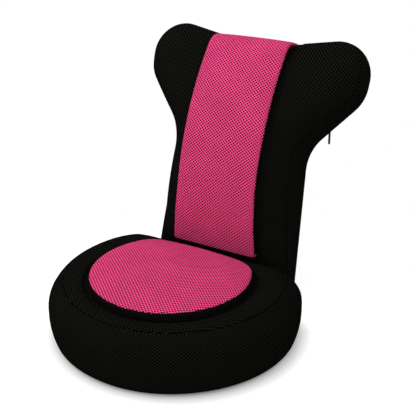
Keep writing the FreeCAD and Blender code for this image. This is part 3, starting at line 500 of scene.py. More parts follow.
# Each corner is x, s and the radius that rounds it, from the foot up to the dip between the wings.
back_half = [
    (190.5, FOOT_S, 34.0),
    (163.0, 316.5, 106.0),
    (280.0, 449.5, 91.0),
    (284.5, 590.0, 77.0),
    (90.0, 555.5, 150.0),
]
back_plan_field = outline_field(outline_points(with_mirror(back_half)))


def back_plan(x, s):
    return back_plan_field(x, s)[0]


def arch(s, belly_s, belly_n, radius):
    """How far forward an arched front stands at s."""
    return belly_n - radius + np.sqrt(np.maximum(radius**2 - (s - belly_s) ** 2, 0))


def bolster_front(s):
    return arch(s, BELLY_S, BELLY_N, FRONT_ROUND)


REAR_ROUND, SIDE_FLAT = 29.0, 2.0
LEAST_ROLL, FULL_ROLL, HEAD_LOSS, HEAD_S, HEAD_LENGTH = 24.0, 80.0, 6.0, 333.0, 170.0


def edge_round(s):
    """The front edge's radius: nearly the whole thickness, so less at the thin foot and head."""
    wanted = FULL_ROLL - HEAD_LOSS * np.clip((s - HEAD_S) / HEAD_LENGTH, 0, 1)
    return np.clip(BACK_REAR + bolster_front(s) - REAR_ROUND - SIDE_FLAT, LEAST_ROLL, wanted)


HINGE_X, SLOT_HALF, SLOT_REACH = 143.0, 17.2, 39.5


def hinge_slots(x, s, n):
    """The slots that leave room for the hinge cheeks at the foot."""
    across_slot = np.abs(np.abs(x) - HINGE_X) - SLOT_HALF
    return np.maximum(np.maximum(across_slot, s - SLOT_REACH), n - SLOT_REACH)


def back_form(x, s, n):
    slab = rounded_meet(back_plan(x, s), n - bolster_front(s), edge_round(s))
    return rounded_meet(slab, -BACK_REAR - n, REAR_ROUND)


print("back", round(float(bolster_front(0)), 1), "mm forward at the hinge,", BELLY_N, "at the belly")

# %% [markdown]
# ## The pink panel's section
# The raised panel of the back is an arched pad that rolls over the top edge. It could be swept along
# a bent path. Here its side view is a closed outline, whose field also tells how far along the cloth
# a point lies, so that the holes of the mesh follow the roll without stretching.

# %% Back pad section
PAD_FOOT_S, PAD_TOP_S, PAD_END_N, NOSE = 58.0, 557.0, -16.0, 40.0
PAD_BELLY_S, PAD_BELLY_N, PAD_ROUND = 286.0, 100.0, 640.0
PAD_HALF, PAD_FLARE, FLARE_S, FLARE_BEND = 102.5, 8.0, 215.0, 1.3
ARCH_STEPS, NOSE_STEPS = 60, 14


def pad_half(s):
    """Half the panel's width: a strip that flares towards its foot."""
    return PAD_HALF + PAD_FLARE * np.clip((FLARE_S - s) / (FLARE_S - PAD_FOOT_S), 0, 1) ** FLARE_BEND


nose_s = PAD_TOP_S - NOSE
nose_n = PAD_BELLY_N - PAD_ROUND + math.sqrt((PAD_ROUND - NOSE) ** 2 - (nose_s - PAD_BELLY_S) ** 2)
nose_turn = math.asin((nose_s - PAD_BELLY_S) / (PAD_ROUND - NOSE))
section = [(PAD_FOOT_S, PAD_END_N)]
for s in np.linspace(PAD_FOOT_S, PAD_BELLY_S + PAD_ROUND * math.sin(nose_turn), ARCH_STEPS):
    section.append((s, float(arch(s, PAD_BELLY_S, PAD_BELLY_N, PAD_ROUND))))
for turn in np.linspace(nose_turn, math.pi / 2, NOSE_STEPS)[1:]:
    section.append((nose_s + NOSE * math.sin(turn), nose_n + NOSE * math.cos(turn)))
section.append((PAD_TOP_S, PAD_END_N))
pad_section_field = outline_field(np.array(section))
print("nose of the pad at n", round(nose_n, 1))

# %% [markdown]
# ## The back's cover
# The cover is sewn from a front panel, a side band and a rear panel that opens by a zip. They could
# be cut from one mesh by material, but seams would then be painted. Here each cloth is its own closed
# piece: the same slab, kept on one side of a seam and rounded there, so the seams are real grooves.
# A thread beside the pink panel draws the front in, and slots at the foot leave the hinges free.

# %% Back cover forms
BACK_THREAD_OUT, BACK_THREAD, BACK_THREAD_SOFT, THREAD_END_N = 3.0, 4.5, 8.0, -14.0
REAR_GAP, REAR_HEM, SLOT_ROUND = 0.4, 2.5, 3.0


def back_cover_form(x, s, n):
    form = back_form(x, s, n)
    thread = np.hypot(np.abs(x) - pad_half(s) - BACK_THREAD_OUT, form) - BACK_THREAD
    thread = np.maximum(thread, THREAD_END_N - n)
    form = drawn_in(form, thread, BACK_THREAD_SOFT)
    form = rounded_meet(form, REAR_SEAM + REAR_GAP - n, REAR_HEM)
    return rounded_meet(form, -hinge_slots(x, s, n), SLOT_ROUND)


ZIP_S, ZIP_HALF, ZIP_TAPE = 388.0, 203.0, 13.0
SLIT_END_GAP, SLIT_SIDE_GAP, SLIT_DEPTH, SLIT_ROUND = 1.0, 0.4, 2.6, 1.2


def zip_slit(x, s, n):
    """The shallow slit in the rear panel that the zip's tape lies in."""
    plan = np.maximum(np.abs(x) - ZIP_HALF - SLIT_END_GAP, np.abs(s - ZIP_S) - ZIP_TAPE - SLIT_SIDE_GAP)
    return np.maximum(plan, n + BACK_REAR - SLIT_DEPTH)


def rear_panel_form(x, s, n):
    form = rounded_meet(back_form(x, s, n), n - REAR_SEAM + REAR_GAP, REAR_HEM)
    form = rounded_meet(form, -zip_slit(x, s, n), SLIT_ROUND)
    return rounded_meet(form, -hinge_slots(x, s, n), SLOT_ROUND)


SIDE_SEAM_TURN = math.radians(60)


def side_seam(x, s, n):
    """Positive outside the seam, on the rolled edge, from the front panel to the side band."""
    roll = edge_round(s)
    outward, forward = back_plan(x, s) + roll, n - bolster_front(s) + roll
    return outward * math.cos(SIDE_SEAM_TURN) - forward * math.sin(SIDE_SEAM_TURN)


def front_panel_form(x, s, n):
    return rounded_meet(back_cover_form(x, s, n), side_seam(x, s, n) + SEAM_GAP, SEAM_ROUND)


def side_band_form(x, s, n):
    return rounded_meet(back_cover_form(x, s, n), SEAM_GAP - side_seam(x, s, n), SEAM_ROUND)


print("side seam", round(math.degrees(SIDE_SEAM_TURN)), "degrees round the rolled edge")

# %% Front panel, side band and rear panel
FRONT_ROOM = (-286, -38, -22), (286, 594, 84)
REAR_ROOM = (-286, -38, -52), (286, 594, -18)
WEAVE_ROLL = 72.0
points, quads = surface_net(front_panel_form, *FRONT_ROOM, COVER_CELL)
depth = bolster_front(points[:, 1]) - points[:, 2]
weave = wrapped_weave(back_plan, points[:, 0], points[:, 1], depth, WEAVE_ROLL)
back_cover = make_piece("back_front_cover", leaning(points), quads, weave)
points, quads = surface_net(side_band_form, *FRONT_ROOM, COVER_CELL)
weave = np.stack([back_plan_field(points[:, 0], points[:, 1])[1], points[:, 2]], axis=1)
side_band = make_piece("back_side_band", leaning(points), quads, weave)
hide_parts("back_cover", "back_front_foam")
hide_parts("back_edge_foam")
for piece in (back_cover, side_band):
    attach(piece, "back")

points, quads = surface_net(rear_panel_form, *REAR_ROOM, COVER_CELL)
weave = wrapped_weave(back_plan, points[:, 0], points[:, 1], points[:, 2] + BACK_REAR, REAR_ROUND)
rear_panel = make_piece("back_rear_cloth", leaning(points), quads, weave)
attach(rear_panel, "back")
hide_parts("back_rear_panel", "back_rear_foam")

# %% [markdown]
# ## The back's raised pad
# As on the seat, the pink panel is sewn to black bands, here one along each side. One mesh in two
# colours would do from afar, but not at the seam. The bands stand on the cover and sink a few
# millimetres into it, so no light shows under them. The panel laps over the bands, is drawn nearly
# flat across, and then swells with its sides, its foot and the end of its roll sewn down.

# %% Back pad: black bands and pink panel
BAND_IN, BAND_DOWN, BAND_ROUND, BAND_SINK = 1.2, 4.0, 2.5, 5.0


def back_bands_form(x, s, n):
    inner = pad_section_field(s, n)[0]
    form = rounded_meet(np.abs(x) - pad_half(s) + BAND_IN, inner + BAND_DOWN, BAND_ROUND)
    return np.maximum(form, -(back_form(x, s, n) + BAND_SINK))


PANEL_LIP, PANEL_CROWN, PANEL_SIDE, PANEL_THICK, PANEL_SINK = 1.2, 0.5, 8.0, 4.6, 3.0


def back_panel_form(x, s, n):
    inner = pad_section_field(s, n)[0]
    side = np.abs(x) - pad_half(s) - PANEL_LIP
    crown = PANEL_CROWN * np.clip(1 - (x / pad_half(s)) ** 2, 0, 1)
    form = rounded_meet(side, inner - crown, PANEL_SIDE)
    under = -inner - PANEL_THICK - TUCK_SLOPE * np.clip(-side, 0, PANEL_SIDE)
    form = rounded_meet(form, under, PANEL_HEM)
    return np.maximum(form, -(back_form(x, s, n) + PANEL_SINK))


BANDS_ROOM, BAND_APART = ((-113, 54, -18), (113, 564, 104)), 300.0
points, quads = surface_net(back_bands_form, *BANDS_ROOM, COVER_CELL)
weave = np.stack([points[:, 2] + BAND_APART * np.sign(points[:, 0]), points[:, 1]], axis=1)
pad_bands = make_piece("back_pad_bands", leaning(points), quads, weave)
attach(pad_bands, "back")
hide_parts("back_pad_strips", "back_pad_foam")

BACK_PANEL_ROOM = (-113, 54, -18), (113, 566, 108)
BACK_PAD_SWELL, FOOT_SEWN, END_SEWN_N, UNDER_DEPTH = 5.0, 8.0, -6.0, 3.0
points, quads = surface_net(back_panel_form, *BACK_PANEL_ROOM, PANEL_CELL)
x, s, n = points.T
inner, along = pad_section_field(s, n)
side_drop = np.clip(PANEL_SIDE + np.abs(x) - pad_half(s), 0, PANEL_SIDE)
weave = np.stack([x + np.sign(x) * wrapped(side_drop, PANEL_SIDE), along], axis=1)
back_panel = make_piece("back_pink_panel", leaning(points), quads, weave)
sewn = (np.abs(x) > pad_half(s) - PANEL_TUCK) | (s < PAD_FOOT_S + FOOT_SEWN)
sewn |= (n < END_SEWN_N) | (inner < -UNDER_DEPTH)
swell(back_panel, sewn, BACK_PAD_SWELL)
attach(back_panel, "back")
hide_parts("back_centre_panel")

# %% [markdown]
# ## Cloth in the crease
# A slack strip of the black mesh is sewn to the seat's rear wall and to the foot of the back, so it
# hides the hinges and gives way when the back moves. It could be simulated, but its sewn edges and
# the hinge plates under it leave it little choice: it hangs in a fold that is deep between the
# hinges and shallow over their plates. So each column of points is one hung curve.

# %% Crease cloth
def grid_faces(columns, rows):
    """Quads of a sheet whose points run row by row within each column."""
    first = (np.arange(columns - 1)[:, None] * rows + np.arange(rows - 1)[None, :]).ravel()
    return np.stack([first, first + rows, first + rows + 1, first + 1], axis=1)


def sheet_area(points, quads):
    """The area of a sheet in square metres, from the diagonals of its quads."""
    corner = points[quads]
    diagonals = corner[:, 2] - corner[:, 0], corner[:, 3] - corner[:, 1]
    return float(np.linalg.norm(np.cross(*diagonals), axis=1).sum() / 2)


COLUMNS, ROWS = 81, 25
SEAT_EDGE_HALF, BACK_EDGE_HALF, SEWN_DEPTH = 196.0, 174.0, 2.0
SEAT_EDGE_Z, BACK_EDGE_S, BLEND_Z = 113.0, 44.0, 0.11
SAG, SAG_BEND, SAG_LOSS, PLATE_REACH, PLATE_EASE = 36.0, 2.5, 27.0, 1.6, 20.0
CREASE_WIDTH, CREASE_RUN = 0.37, 92.0
across = np.linspace(-1, 1, COLUMNS)[:, None]
along = np.linspace(0, 1, ROWS)[None, :]
x = across * (SEAT_EDGE_HALF + (BACK_EDGE_HALF - SEAT_EDGE_HALF) * along)
over_hinge = np.clip(PLATE_REACH - np.abs(np.abs(x) - HINGE_X) / PLATE_EASE, 0, 1)
sag = SAG - SAG_LOSS * over_hinge**2 * (3 - 2 * over_hinge)
roll = float(edge_round(BACK_EDGE_S))
rear_x = across[:, 0] * BACK_EDGE_HALF
rear_n = bolster_front(BACK_EDGE_S) - roll - SEWN_DEPTH
rear_n = rear_n + np.sqrt(roll**2 - np.clip(roll + back_plan(rear_x, BACK_EDGE_S), 0, roll) ** 2)
rear = leaning(np.stack([rear_x, np.full(COLUMNS, BACK_EDGE_S), rear_n], axis=1)) * 1000
seat_y = SEAT_REAR - SEWN_DEPTH
y = seat_y + (rear[:, 1:2] - seat_y) * along
straight = SEAT_EDGE_Z + (rear[:, 2:3] - SEAT_EDGE_Z) * along
z = straight - sag * (1 - np.abs(2 * along - 1) ** SAG_BEND)
points = standing(np.stack([x, y, z], axis=2).reshape(-1, 3))
quads = grid_faces(COLUMNS, ROWS)
weave = np.stack(np.broadcast_arrays(x, along * CREASE_RUN), axis=2).reshape(-1, 2)
crease = make_piece("crease_fold", points, quads, weave)
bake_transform(crease)
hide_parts("crease_cloth")
crease_length = sheet_area(points, quads) / CREASE_WIDTH
print("crease cloth", CREASE_WIDTH, "by", round(crease_length, 3), "m")

# %% [markdown]
# ## Base cloth and webbing
# Under the drum is a plain cloth, drawn tight. Inside, elastic bands go round the frame's tubes and
# carry the foam. They could be thin solids, but all are flat cloths, so each is drawn as one sheet:
# the base as rings about its middle, the bands as loops that go round both tubes of a frame.

# %% Base cloth
BASE_RADIUS, BASE_INSET, BASE_Z = 262.0, 4.0, 0.8
RING_COUNT, SPOKE_COUNT, FIRST_RING, LEAST_SINE = 14, 120, 0.02, 1e-3
base_rear = SEAT_REAR - BASE_INSET
spoke = np.linspace(0, 2 * math.pi, SPOKE_COUNT + 1)
reach = np.minimum(BASE_RADIUS, base_rear / np.maximum(np.sin(spoke), LEAST_SINE))[:, None]
out = np.linspace(FIRST_RING, 1, RING_COUNT)[None, :]
x, y = reach * out * np.cos(spoke)[:, None], reach * out * np.sin(spoke)[:, None]
points = standing(np.stack([x, y, np.full_like(x, BASE_Z)], axis=2).reshape(-1, 3))
quads = grid_faces(SPOKE_COUNT + 1, RING_COUNT)
base = make_piece("seat_base_sheet", points, quads, points[:, :2] * 1000)
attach(base, "seat")
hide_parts("seat_base_cloth")
sheet_area(points, quads)

# %% Elastic bands
WING_X, LOOP_RADIUS, TURN_POINTS, WIDTH_POINTS = 228.0, 10.5, 13, 7
SEAT_BAND_WIDTH, SEAT_BANDS_Y = 26.0, (28.0, -8.0)
BACK_BAND_WIDTH, WING_BAND_S, BACK_BANDS_S = 28.0, 462.0, (175.0, 215.0, 255.0)


def band_loop(half_span):
    """Points (x, rise) of a loop round two tubes."""
    turn = np.linspace(-math.pi / 2, math.pi / 2, TURN_POINTS)
    right = np.stack([half_span + LOOP_RADIUS * np.cos(turn), LOOP_RADIUS * np.sin(turn)], axis=1)
    return np.concatenate([right, -right, right[:1]])


bands = []
places = [("seat", y, HINGE_X, SEAT_BAND_WIDTH) for y in SEAT_BANDS_Y]
places += [("back", WING_BAND_S, WING_X, BACK_BAND_WIDTH)]
places += [("back", s, HINGE_X, BACK_BAND_WIDTH) for s in BACK_BANDS_S]
for number, (body, middle, half_span, width) in enumerate(places):
    loop = band_loop(half_span)
    wide = np.linspace(middle - width / 2, middle + width / 2, WIDTH_POINTS)
    flat = np.array([(u, w, rise) for u, rise in loop for w in wide])
    points = leaning(flat) if body == "back" else standing(flat + (0, 0, HINGE_Z))
    band = make_piece(f"{body}_band_{number}", points, grid_faces(len(loop), len(wide)), flat[:, :2])
    length = np.linalg.norm(np.diff(loop, axis=0), axis=1).sum() / 1000
    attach(band, body)
    bands.append(band)
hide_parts("seat_webbing")
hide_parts("back_webbing")

# %% [markdown]
# ## The zip
# The cover comes off through a zip across the rear panel; its long pull hangs out below one wing. A
# zip could be a striped strip, but from behind one sees the nylon teeth. They are laid as two rows
# of small eight-sided bars, half a pitch apart, on a woven tape with a row of stitches on each edge.

# %% Zip tape
TAPE_COLUMNS, TAPE_ROWS, TAPE_SINK = 83, 15, 0.4
x = np.linspace(-ZIP_HALF, ZIP_HALF, TAPE_COLUMNS)[:, None]
s = np.linspace(ZIP_S - ZIP_TAPE, ZIP_S + ZIP_TAPE, TAPE_ROWS)[None, :]
flat = np.stack(np.broadcast_arrays(x, s, TAPE_SINK - BACK_REAR), axis=2).reshape(-1, 3)
tape = make_piece("zip_tape_cloth", leaning(flat), grid_faces(TAPE_COLUMNS, TAPE_ROWS), flat[:, :2])
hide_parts("zip_tape")

# %% Teeth and stitches
# Each ring of a bar is at a share of its length and has a share of its radius.
BAR_RINGS = ((0, 0.55), (0.2, 1), (0.8, 1), (1, 0.55))


def bars(ends, radius, sides=8):
    """Small round bars between pairs of points (back axes), thinner at both ends."""
    turn = np.linspace(0, 2 * math.pi, sides, endpoint=False)
    points, faces = [], []
    for low, high in ends:
        low, high = np.array(low), np.array(high)
        first = len(points)
        heading = (high - low) / np.linalg.norm(high - low)
        side = np.cross(heading, (0, 0, 1))
        rise = np.cross(side, heading)
        ring = np.cos(turn)[:, None] * side + np.sin(turn)[:, None] * rise
        for share, size in BAR_RINGS:
            points.extend(low + (high - low) * share + ring * radius * size)
        last = len(points) - sides
        for row in range(first, last, sides):
            for k in range(sides):
                a, b = row + k, row + (k + 1) % sides
                faces.append((a, b, b + sides, a + sides))
        faces.append(tuple(range(first + sides - 1, first - 1, -1)))
        faces.append(tuple(range(last, last + sides)))
    return leaning(np.array(points)), faces


TEETH_HALF, TOOTH_PITCH, TOOTH_RADIUS, TOOTH_PROUD = 199.0, 1.6, 0.72, 0.85
TOOTH_FOOT, TOOTH_TIP = 2.5, 0.6
tooth_n = -BACK_REAR - TOOTH_PROUD
ends = []
for side, shift in ((-1, 0.5), (1, 1.0)):
    foot, tip = ZIP_S + side * TOOTH_FOOT, ZIP_S - side * TOOTH_TIP
    for place in np.arange(shift * TOOTH_PITCH - TEETH_HALF, TEETH_HALF - TOOTH_PITCH / 2, TOOTH_PITCH):
        ends.append(((place, foot, tooth_n), (place, tip, tooth_n)))
teeth = make_piece("zip_teeth", *bars(ends, TOOTH_RADIUS))
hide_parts("zip_coil")

STITCH_OUT, STITCH_SINK, STITCH_RADIUS, STITCH_SIDES = 9.5, 0.2, 0.42, 6
STITCH_STEP, STITCH_LENGTH, FIRST_STITCH, LAST_STITCH = 4.4, 3.0, 4.0, 6.0
stitch_n = STITCH_SINK - BACK_REAR
ends = []
for edge in (ZIP_S - STITCH_OUT, ZIP_S + STITCH_OUT):
    for place in np.arange(-ZIP_HALF + FIRST_STITCH, ZIP_HALF - LAST_STITCH, STITCH_STEP):
        ends.append(((place, edge, stitch_n), (place + STITCH_LENGTH, edge, stitch_n)))
stitches = make_piece("zip_stitches", *bars(ends, STITCH_RADIUS, STITCH_SIDES))
for piece in (tape, teeth, stitches):
    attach(piece, "back")

# %% [markdown]
# ## Shader sums that read like sums
# A node tree for a knitted cloth needs dozens of small sums. Clicking them together hides the idea,
# so one small class wraps a socket: adding, subtracting, multiplying or dividing adds the Math node,
# and one method makes any other node, its settings first and its sockets after.

# %% Socket class
# A Mix node has sockets of the same name for each kind of data, so its colours are found by number.
MIX_SHARE, MIX_FIRST, MIX_SECOND, MIX_COLOUR = 0, 6, 7, 2


class Thread:
    """A socket of a material's tree, for sums written in Python."""

    def __init__(self, tree, socket=None):
        self.tree = tree
        self.socket = socket

    def node(self, kind, settings, sockets, out=0):
        made = self.tree.nodes.new(kind)
        for key, value in settings.items():
            setattr(made, key, value)
        for key, value in sockets.items():
            if isinstance(value, Thread):
                self.tree.links.new(value.socket, made.inputs[key])
            else:
                made.inputs[key].default_value = value
        return Thread(self.tree, made.outputs[out])

    def sum(self, operation, *values):
        return self.node("ShaderNodeMath", {"operation": operation}, dict(enumerate(values)))

    def __add__(self, other):
        return self.sum("ADD", self, other)

    def __radd__(self, other):
        return self.sum("ADD", other, self)

    def __sub__(self, other):
        return self.sum("SUBTRACT", self, other)

    def __rsub__(self, other):
        return self.sum("SUBTRACT", other, self)

    def __mul__(self, other):
        return self.sum("MULTIPLY", self, other)

    def __rmul__(self, other):
        return self.sum("MULTIPLY", other, self)

    def __truediv__(self, other):
        return self.sum("DIVIDE", self, other)

    def ramp(self, low, high):
        """0 at low and 1 at high, eased at both ends."""
        settings = {"interpolation_type": "SMOOTHSTEP"}
        sockets = {"Value": self, "From Min": low, "From Max": high}
        return self.node("ShaderNodeMapRange", settings, sockets)

    def tint(self, colour, other):
        """One colour where this value is 0 and the other where it is 1."""
        settings = {"data_type": "RGBA"}
        sockets = {MIX_SHARE: self, MIX_FIRST: colour, MIX_SECOND: other}
        return self.node("ShaderNodeMix", settings, sockets, out=MIX_COLOUR)


print("shader class ready")

# %% Finish helpers
def linear(red, green, blue):
    """An sRGB colour, 0 to 255, as the linear colour that a shader takes."""
    share = [c / 255 for c in (red, green, blue)]
    return (*[c / 12.92 if c <= 0.04045 else ((c + 0.055) / 1.055) ** 2.4 for c in share], 1.0)


def new_finish(name, **constants):
    """A material with its Principled shader; the constants go on the shader's own sockets."""
    material = bpy.data.materials.new(name)
    material.use_nodes = True
    shader = material.node_tree.nodes["Principled BSDF"]
    for key, value in constants.items():
        shader.inputs[key.replace("_", " ")].default_value = value
    return material, shader, Thread(material.node_tree)


def feed(shader, **values):
    """Links what varies over a surface to the shader."""
    for key, value in values.items():
        value.tree.links.new(value.socket, shader.inputs[key.replace("_", " ")])


print("finish helpers ready")

# %% [markdown]
# ## Air mesh
# The cloth is a thick knitted spacer mesh: rows of small round holes, each row half a step along
# from the last, and dark inside, partly because one looks through to the foam and partly by painted
# shade in the hollow. The holes could be cut, but there are tens of thousands. A lattice in the cloth's
# own coordinates gives each hole its dip and its dark, rough floor, and a fine rib between the holes
# shows the knit. The shader has no shine of its own: the yarn's colour is the cloth's own colour
# lightened by a painted highlight on the threads.

# %% Air mesh finish
HOLE_STEP, ROW_STEP = 0.0088, 0.0074
HOLE_FLOOR, HOLE_RIM = 0.55, 1.25
RIB_RATE, RIB_HEIGHT, RIB_ROUGH = 5200.0, 0.14, 0.06
YARN_ROUGH, HOLE_ROUGH = 0.72, 0.2
WORN_SHADE, WORN_FROM, WORN_TO = 0.86, 0.25, 0.8


def air_mesh(name, yarn_and_highlight, hole_and_shade, size):
    """A matt knitted cloth; size is about the radius of its holes in metres. The yarn colour carries a
    painted highlight on the threads, and the hole colour is partly the layer below and partly painted
    shade in the hollow.
    """
    material, shader, tree = new_finish(name, Specular_IOR_Level=0.0)
    place = tree.node("ShaderNodeAttribute", {"attribute_name": "weave"}, {}, out="Vector")
    u = tree.node("ShaderNodeSeparateXYZ", {}, {"Vector": place}, out="X")
    v = tree.node("ShaderNodeSeparateXYZ", {}, {"Vector": place}, out="Y")

    def hole_distance(shift):
        du = (tree.sum("FRACT", u / HOLE_STEP + shift) - 0.5) * HOLE_STEP
        dv = (tree.sum("FRACT", v / ROW_STEP + shift) - 0.5) * ROW_STEP
        return tree.sum("SQRT", du * du + dv * dv)

    # The share of hole at each point places the painted shade of the holes, and their rough, sunk floor.
    gap = tree.sum("MINIMUM", hole_distance(0.0), hole_distance(0.5))
    hole_and_shade_share = 1 - gap.ramp(size * HOLE_FLOOR, size * HOLE_RIM)
    rib = tree.sum("SINE", (u + v) * RIB_RATE) * tree.sum("SINE", (u - v) * RIB_RATE)
    cloud = tree.node("ShaderNodeTexNoise", {}, {"Vector": place, "Scale": 14.0, "Detail": 3.0})
    # The yarn colour, with its painted highlight, in random clouds of a slightly darker tone.
    worn_yarn_and_highlight = tuple(WORN_SHADE * c for c in yarn_and_highlight[:3]) + (1.0,)
    ground = cloud.ramp(WORN_FROM, WORN_TO).tint(worn_yarn_and_highlight, yarn_and_highlight)
    feed(shader, Base_Color=hole_and_shade_share.tint(ground, hole_and_shade))
    feed(shader, Roughness=YARN_ROUGH + HOLE_ROUGH * hole_and_shade_share + RIB_ROUGH * rib)
    height = RIB_HEIGHT * rib - hole_and_shade_share
    bump = tree.node("ShaderNodeBump", {}, {"Strength": 0.55, "Distance": 0.0011, "Height": height})
    feed(shader, Normal=bump)
    return material


# Each yarn colour is lighter than the cloth, as a painted highlight on the threads; each hole colour is
# dark partly as painted shade.
pink_mesh = air_mesh("pink_air_mesh", yarn_and_highlight=linear(255, 82, 142), hole_and_shade=linear(22, 0, 4), size=0.00222)
black_mesh = air_mesh("black_air_mesh", yarn_and_highlight=linear(37, 37, 33), hole_and_shade=linear(1, 1, 1), size=0.003)
black_pieces = [seat_ring, seat_band, pad_strip, back_cover, side_band, rear_panel, pad_bands, crease]
pink_pieces = [seat_panel, back_panel]
for cloth, pieces in ((black_mesh, black_pieces), (pink_mesh, pink_pieces)):
    for piece in pieces:
        piece.data.materials.append(cloth)
print("black mesh on", len(black_pieces), "pieces, pink mesh on", len(pink_pieces))

# %% [markdown]
# ## Paint, steel, plastic and webbing
# The frame inside keeps its CAD shape, because tubes and plates are exact already. One plain colour
# each would look like a toy, so one function gives all of them wear: clouds of a second colour, and a
# fine grain. What differs is how fine and how shiny: zinc on the hinge, satin paint on the tubes, a
# coarse cloth on the webbing. They show from behind, and in the slots at the foot of the back.

# %% Hard finishes
CLOUD_SCALE, CLOUD_DETAIL, CLOUD_ROUGH = 38.0, 5.0, 0.16
GRAIN_DETAIL, GRAIN_ROUGH, GRAIN_STRENGTH = 2.0, 0.1, 0.3
WEAR_FROM, WEAR_TO = 0.42, 0.72


def hard_finish(name, colour, worn_colour, roughness, grain, dip, metallic=0.0):
    """A worn finish; grain is how fine it is, and dip is its depth in metres."""
    material, shader, tree = new_finish(name, Metallic=metallic)
    place = tree.node("ShaderNodeTexCoord", {}, {}, out="Object")
    cloud_sockets = {"Vector": place, "Scale": CLOUD_SCALE, "Detail": CLOUD_DETAIL}
    cloud = tree.node("ShaderNodeTexNoise", {}, cloud_sockets)
    fine = tree.node("ShaderNodeTexNoise", {}, {"Vector": place, "Scale": grain, "Detail": GRAIN_DETAIL})
    feed(shader, Base_Color=cloud.ramp(WEAR_FROM, WEAR_TO).tint(colour, worn_colour))
    feed(shader, Roughness=roughness + CLOUD_ROUGH * (cloud - 0.5) + GRAIN_ROUGH * (fine - 0.5))
    bump_sockets = {"Strength": GRAIN_STRENGTH, "Distance": dip, "Height": fine}
    feed(shader, Normal=tree.node("ShaderNodeBump", {}, bump_sockets))
    return material


frame_paint = hard_finish(
    "frame_paint", linear(30, 31, 33), linear(44, 44, 45), roughness=0.42, grain=900.0, dip=0.0002
)
hinge_steel = hard_finish(
    "hinge_zinc", linear(168, 170, 172), linear(140, 140, 138),
    roughness=0.36, grain=1400.0, dip=0.0001, metallic=1.0,
)
zip_metal = hard_finish(
    "zip_metal", linear(120, 121, 124), linear(92, 92, 94),
    roughness=0.3, grain=1600.0, dip=0.0001, metallic=1.0,
)
pull_plastic = hard_finish(
    "pull_plastic", linear(58, 59, 61), linear(48, 48, 50), roughness=0.5, grain=700.0, dip=0.0002
)
webbing_cloth = hard_finish(
    "webbing_cloth", linear(46, 45, 43), linear(36, 35, 34), roughness=0.85, grain=1200.0, dip=0.0006
)
zip_cloth = hard_finish(
    "zip_cloth", linear(20, 20, 19), linear(15, 15, 15), roughness=0.88, grain=1500.0, dip=0.0004
)
print("6 hard finishes ready")

# %% Finishes on sheets, zip and frame
for piece in bands + [base]:
    piece.data.materials.append(webbing_cloth)
for piece in (tape, stitches):
    piece.data.materials.append(zip_cloth)
teeth.data.materials.append(pull_plastic)

finish_of_starts = [
    (("seat_frame", "seat_cross", "back_frame", "back_cross"), frame_paint),
    (("hinge", "pawl", "cheek", "ratchet"), hinge_steel),
    (("zip_stops", "zip_slider"), zip_metal),
    (("zip_pull",), pull_plastic),
]
finished = []
for name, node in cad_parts.items():
    for starts, finish in finish_of_starts:
        if name.startswith(starts):
            node.data.materials.clear()
            node.data.materials.append(finish)
            finished.append(name)
print("finishes on", len(finished), "CAD nodes that stay")

# %% [markdown]
# ## A white studio
# The photograph has a pure white ground with a faint shadow under the chair. A floor that is lit
# to white would need more light than the cloth can bear. So the floor glows a little for the
# camera alone, which lifts its plain grey to white, and its lit part still carries the shadow.
# Close under the chair the glow fades, as the open air above the floor does, which paints the dark
# line of contact: a painted contact shadow, on top of the real shadow in the lit part. Further out the
# floor turns clear, so that it has no edge against the white world.

# %% World and lamps
def lamp(name, place, target, size, power):
    """A round soft lamp, size in metres and power in watts, that shines at the target."""
    light = bpy.data.lights.new(name, "AREA")
    light.shape = "DISK"
    light.size = size
    light.energy = power
    made = bpy.data.objects.new(name, light)
    made.location = place
    aim = np.array(target, float) - np.array(place, float)
    tilt = math.atan2(math.hypot(aim[0], aim[1]), -aim[2])
    made.rotation_euler = (tilt, 0, math.atan2(-aim[0], aim[1]))
    bpy.context.scene.collection.objects.link(made)


lamp("big_overhead", place=(-0.5, -0.6, 2.6), target=(0, 0, 0.2), size=2.2, power=34)
lamp("front_fill", place=(1.2, -2.6, 1.5), target=(0, 0.05, 0.3), size=1.8, power=24)
lamp("left_fill", place=(-2.3, -0.7, 1.3), target=(0, 0.05, 0.3), size=1.6, power=10)
lamp("rear_fill", place=(-0.9, 2.6, 1.3), target=(0, 0.2, 0.3), size=1.8, power=20)

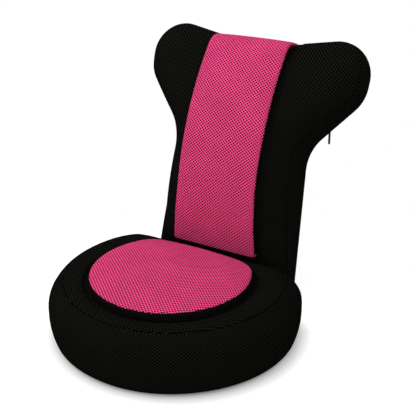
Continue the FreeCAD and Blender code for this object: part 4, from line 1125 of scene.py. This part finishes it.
WHITE, SKY_LIGHT = (1, 1, 1, 1), 0.5
world = bpy.data.worlds.new("studio")
bpy.context.scene.world = world
world.use_nodes = True
sky = Thread(world.node_tree)
rays = ("Is Camera Ray", "Is Glossy Ray", "Is Transmission Ray")
seen = [sky.node("ShaderNodeLightPath", {}, {}, out=ray) for ray in rays]
shown = sky.sum("MAXIMUM", sky.sum("MAXIMUM", seen[0], seen[1]), seen[2])
glow = world.node_tree.nodes["Background"]
glow.inputs["Color"].default_value = WHITE
world.node_tree.links.new((SKY_LIGHT + (1 - SKY_LIGHT) * shown).socket, glow.inputs["Strength"])
print("4 lamps and a white world")

# %% Floor
FLOOR_HALF, FLOOR_DROP = 3.0, 0.0006
PAPER_GREY, PAPER_GLOW = (0.6, 0.6, 0.6, 1), 0.68
CONTACT_REACH, CONTACT_SAMPLES = 0.04, 8
CLEAR_FROM, CLEAR_TO = 0.34, 0.66
corners = [(u * FLOOR_HALF, v * FLOOR_HALF, 0) for u, v in ((-1, -1), (1, -1), (1, 1), (-1, 1))]
floor = make_piece("studio_floor", corners, [(0, 1, 2, 3)])
floor.location.z = -FLOOR_DROP
paper = bpy.data.materials.new("studio_paper")
paper.use_nodes = True
paper.node_tree.nodes.clear()
tree = Thread(paper.node_tree)
camera_ray = tree.node("ShaderNodeLightPath", {}, {}, out="Is Camera Ray")
# The glow is scaled by the open air above each point of the floor, which paints a contact shadow under
# the chair.
contact = {"samples": CONTACT_SAMPLES}
painted_shadow_open_air = tree.node("ShaderNodeAmbientOcclusion", contact, {"Distance": CONTACT_REACH}, out="AO")
glow_and_painted_shadow = PAPER_GLOW * camera_ray * painted_shadow_open_air
grey = tree.node("ShaderNodeBsdfDiffuse", {}, {"Color": PAPER_GREY})
lift = tree.node("ShaderNodeEmission", {}, {"Color": WHITE, "Strength": glow_and_painted_shadow})
lit = tree.node("ShaderNodeAddShader", {}, {0: grey, 1: lift})
clear = tree.node("ShaderNodeBsdfTransparent", {}, {})
spot = tree.node("ShaderNodeTexCoord", {}, {}, out="Object")
distance = tree.node("ShaderNodeVectorMath", {"operation": "LENGTH"}, {0: spot}, out="Value")
far = distance.ramp(CLEAR_FROM, CLEAR_TO)
ground = tree.node("ShaderNodeMixShader", {}, {0: far, 1: lit, 2: clear})
result = paper.node_tree.nodes.new("ShaderNodeOutputMaterial")
paper.node_tree.links.new(ground.socket, result.inputs["Surface"])
floor.data.materials.append(paper)
print("floor clear beyond", CLEAR_TO, "m")
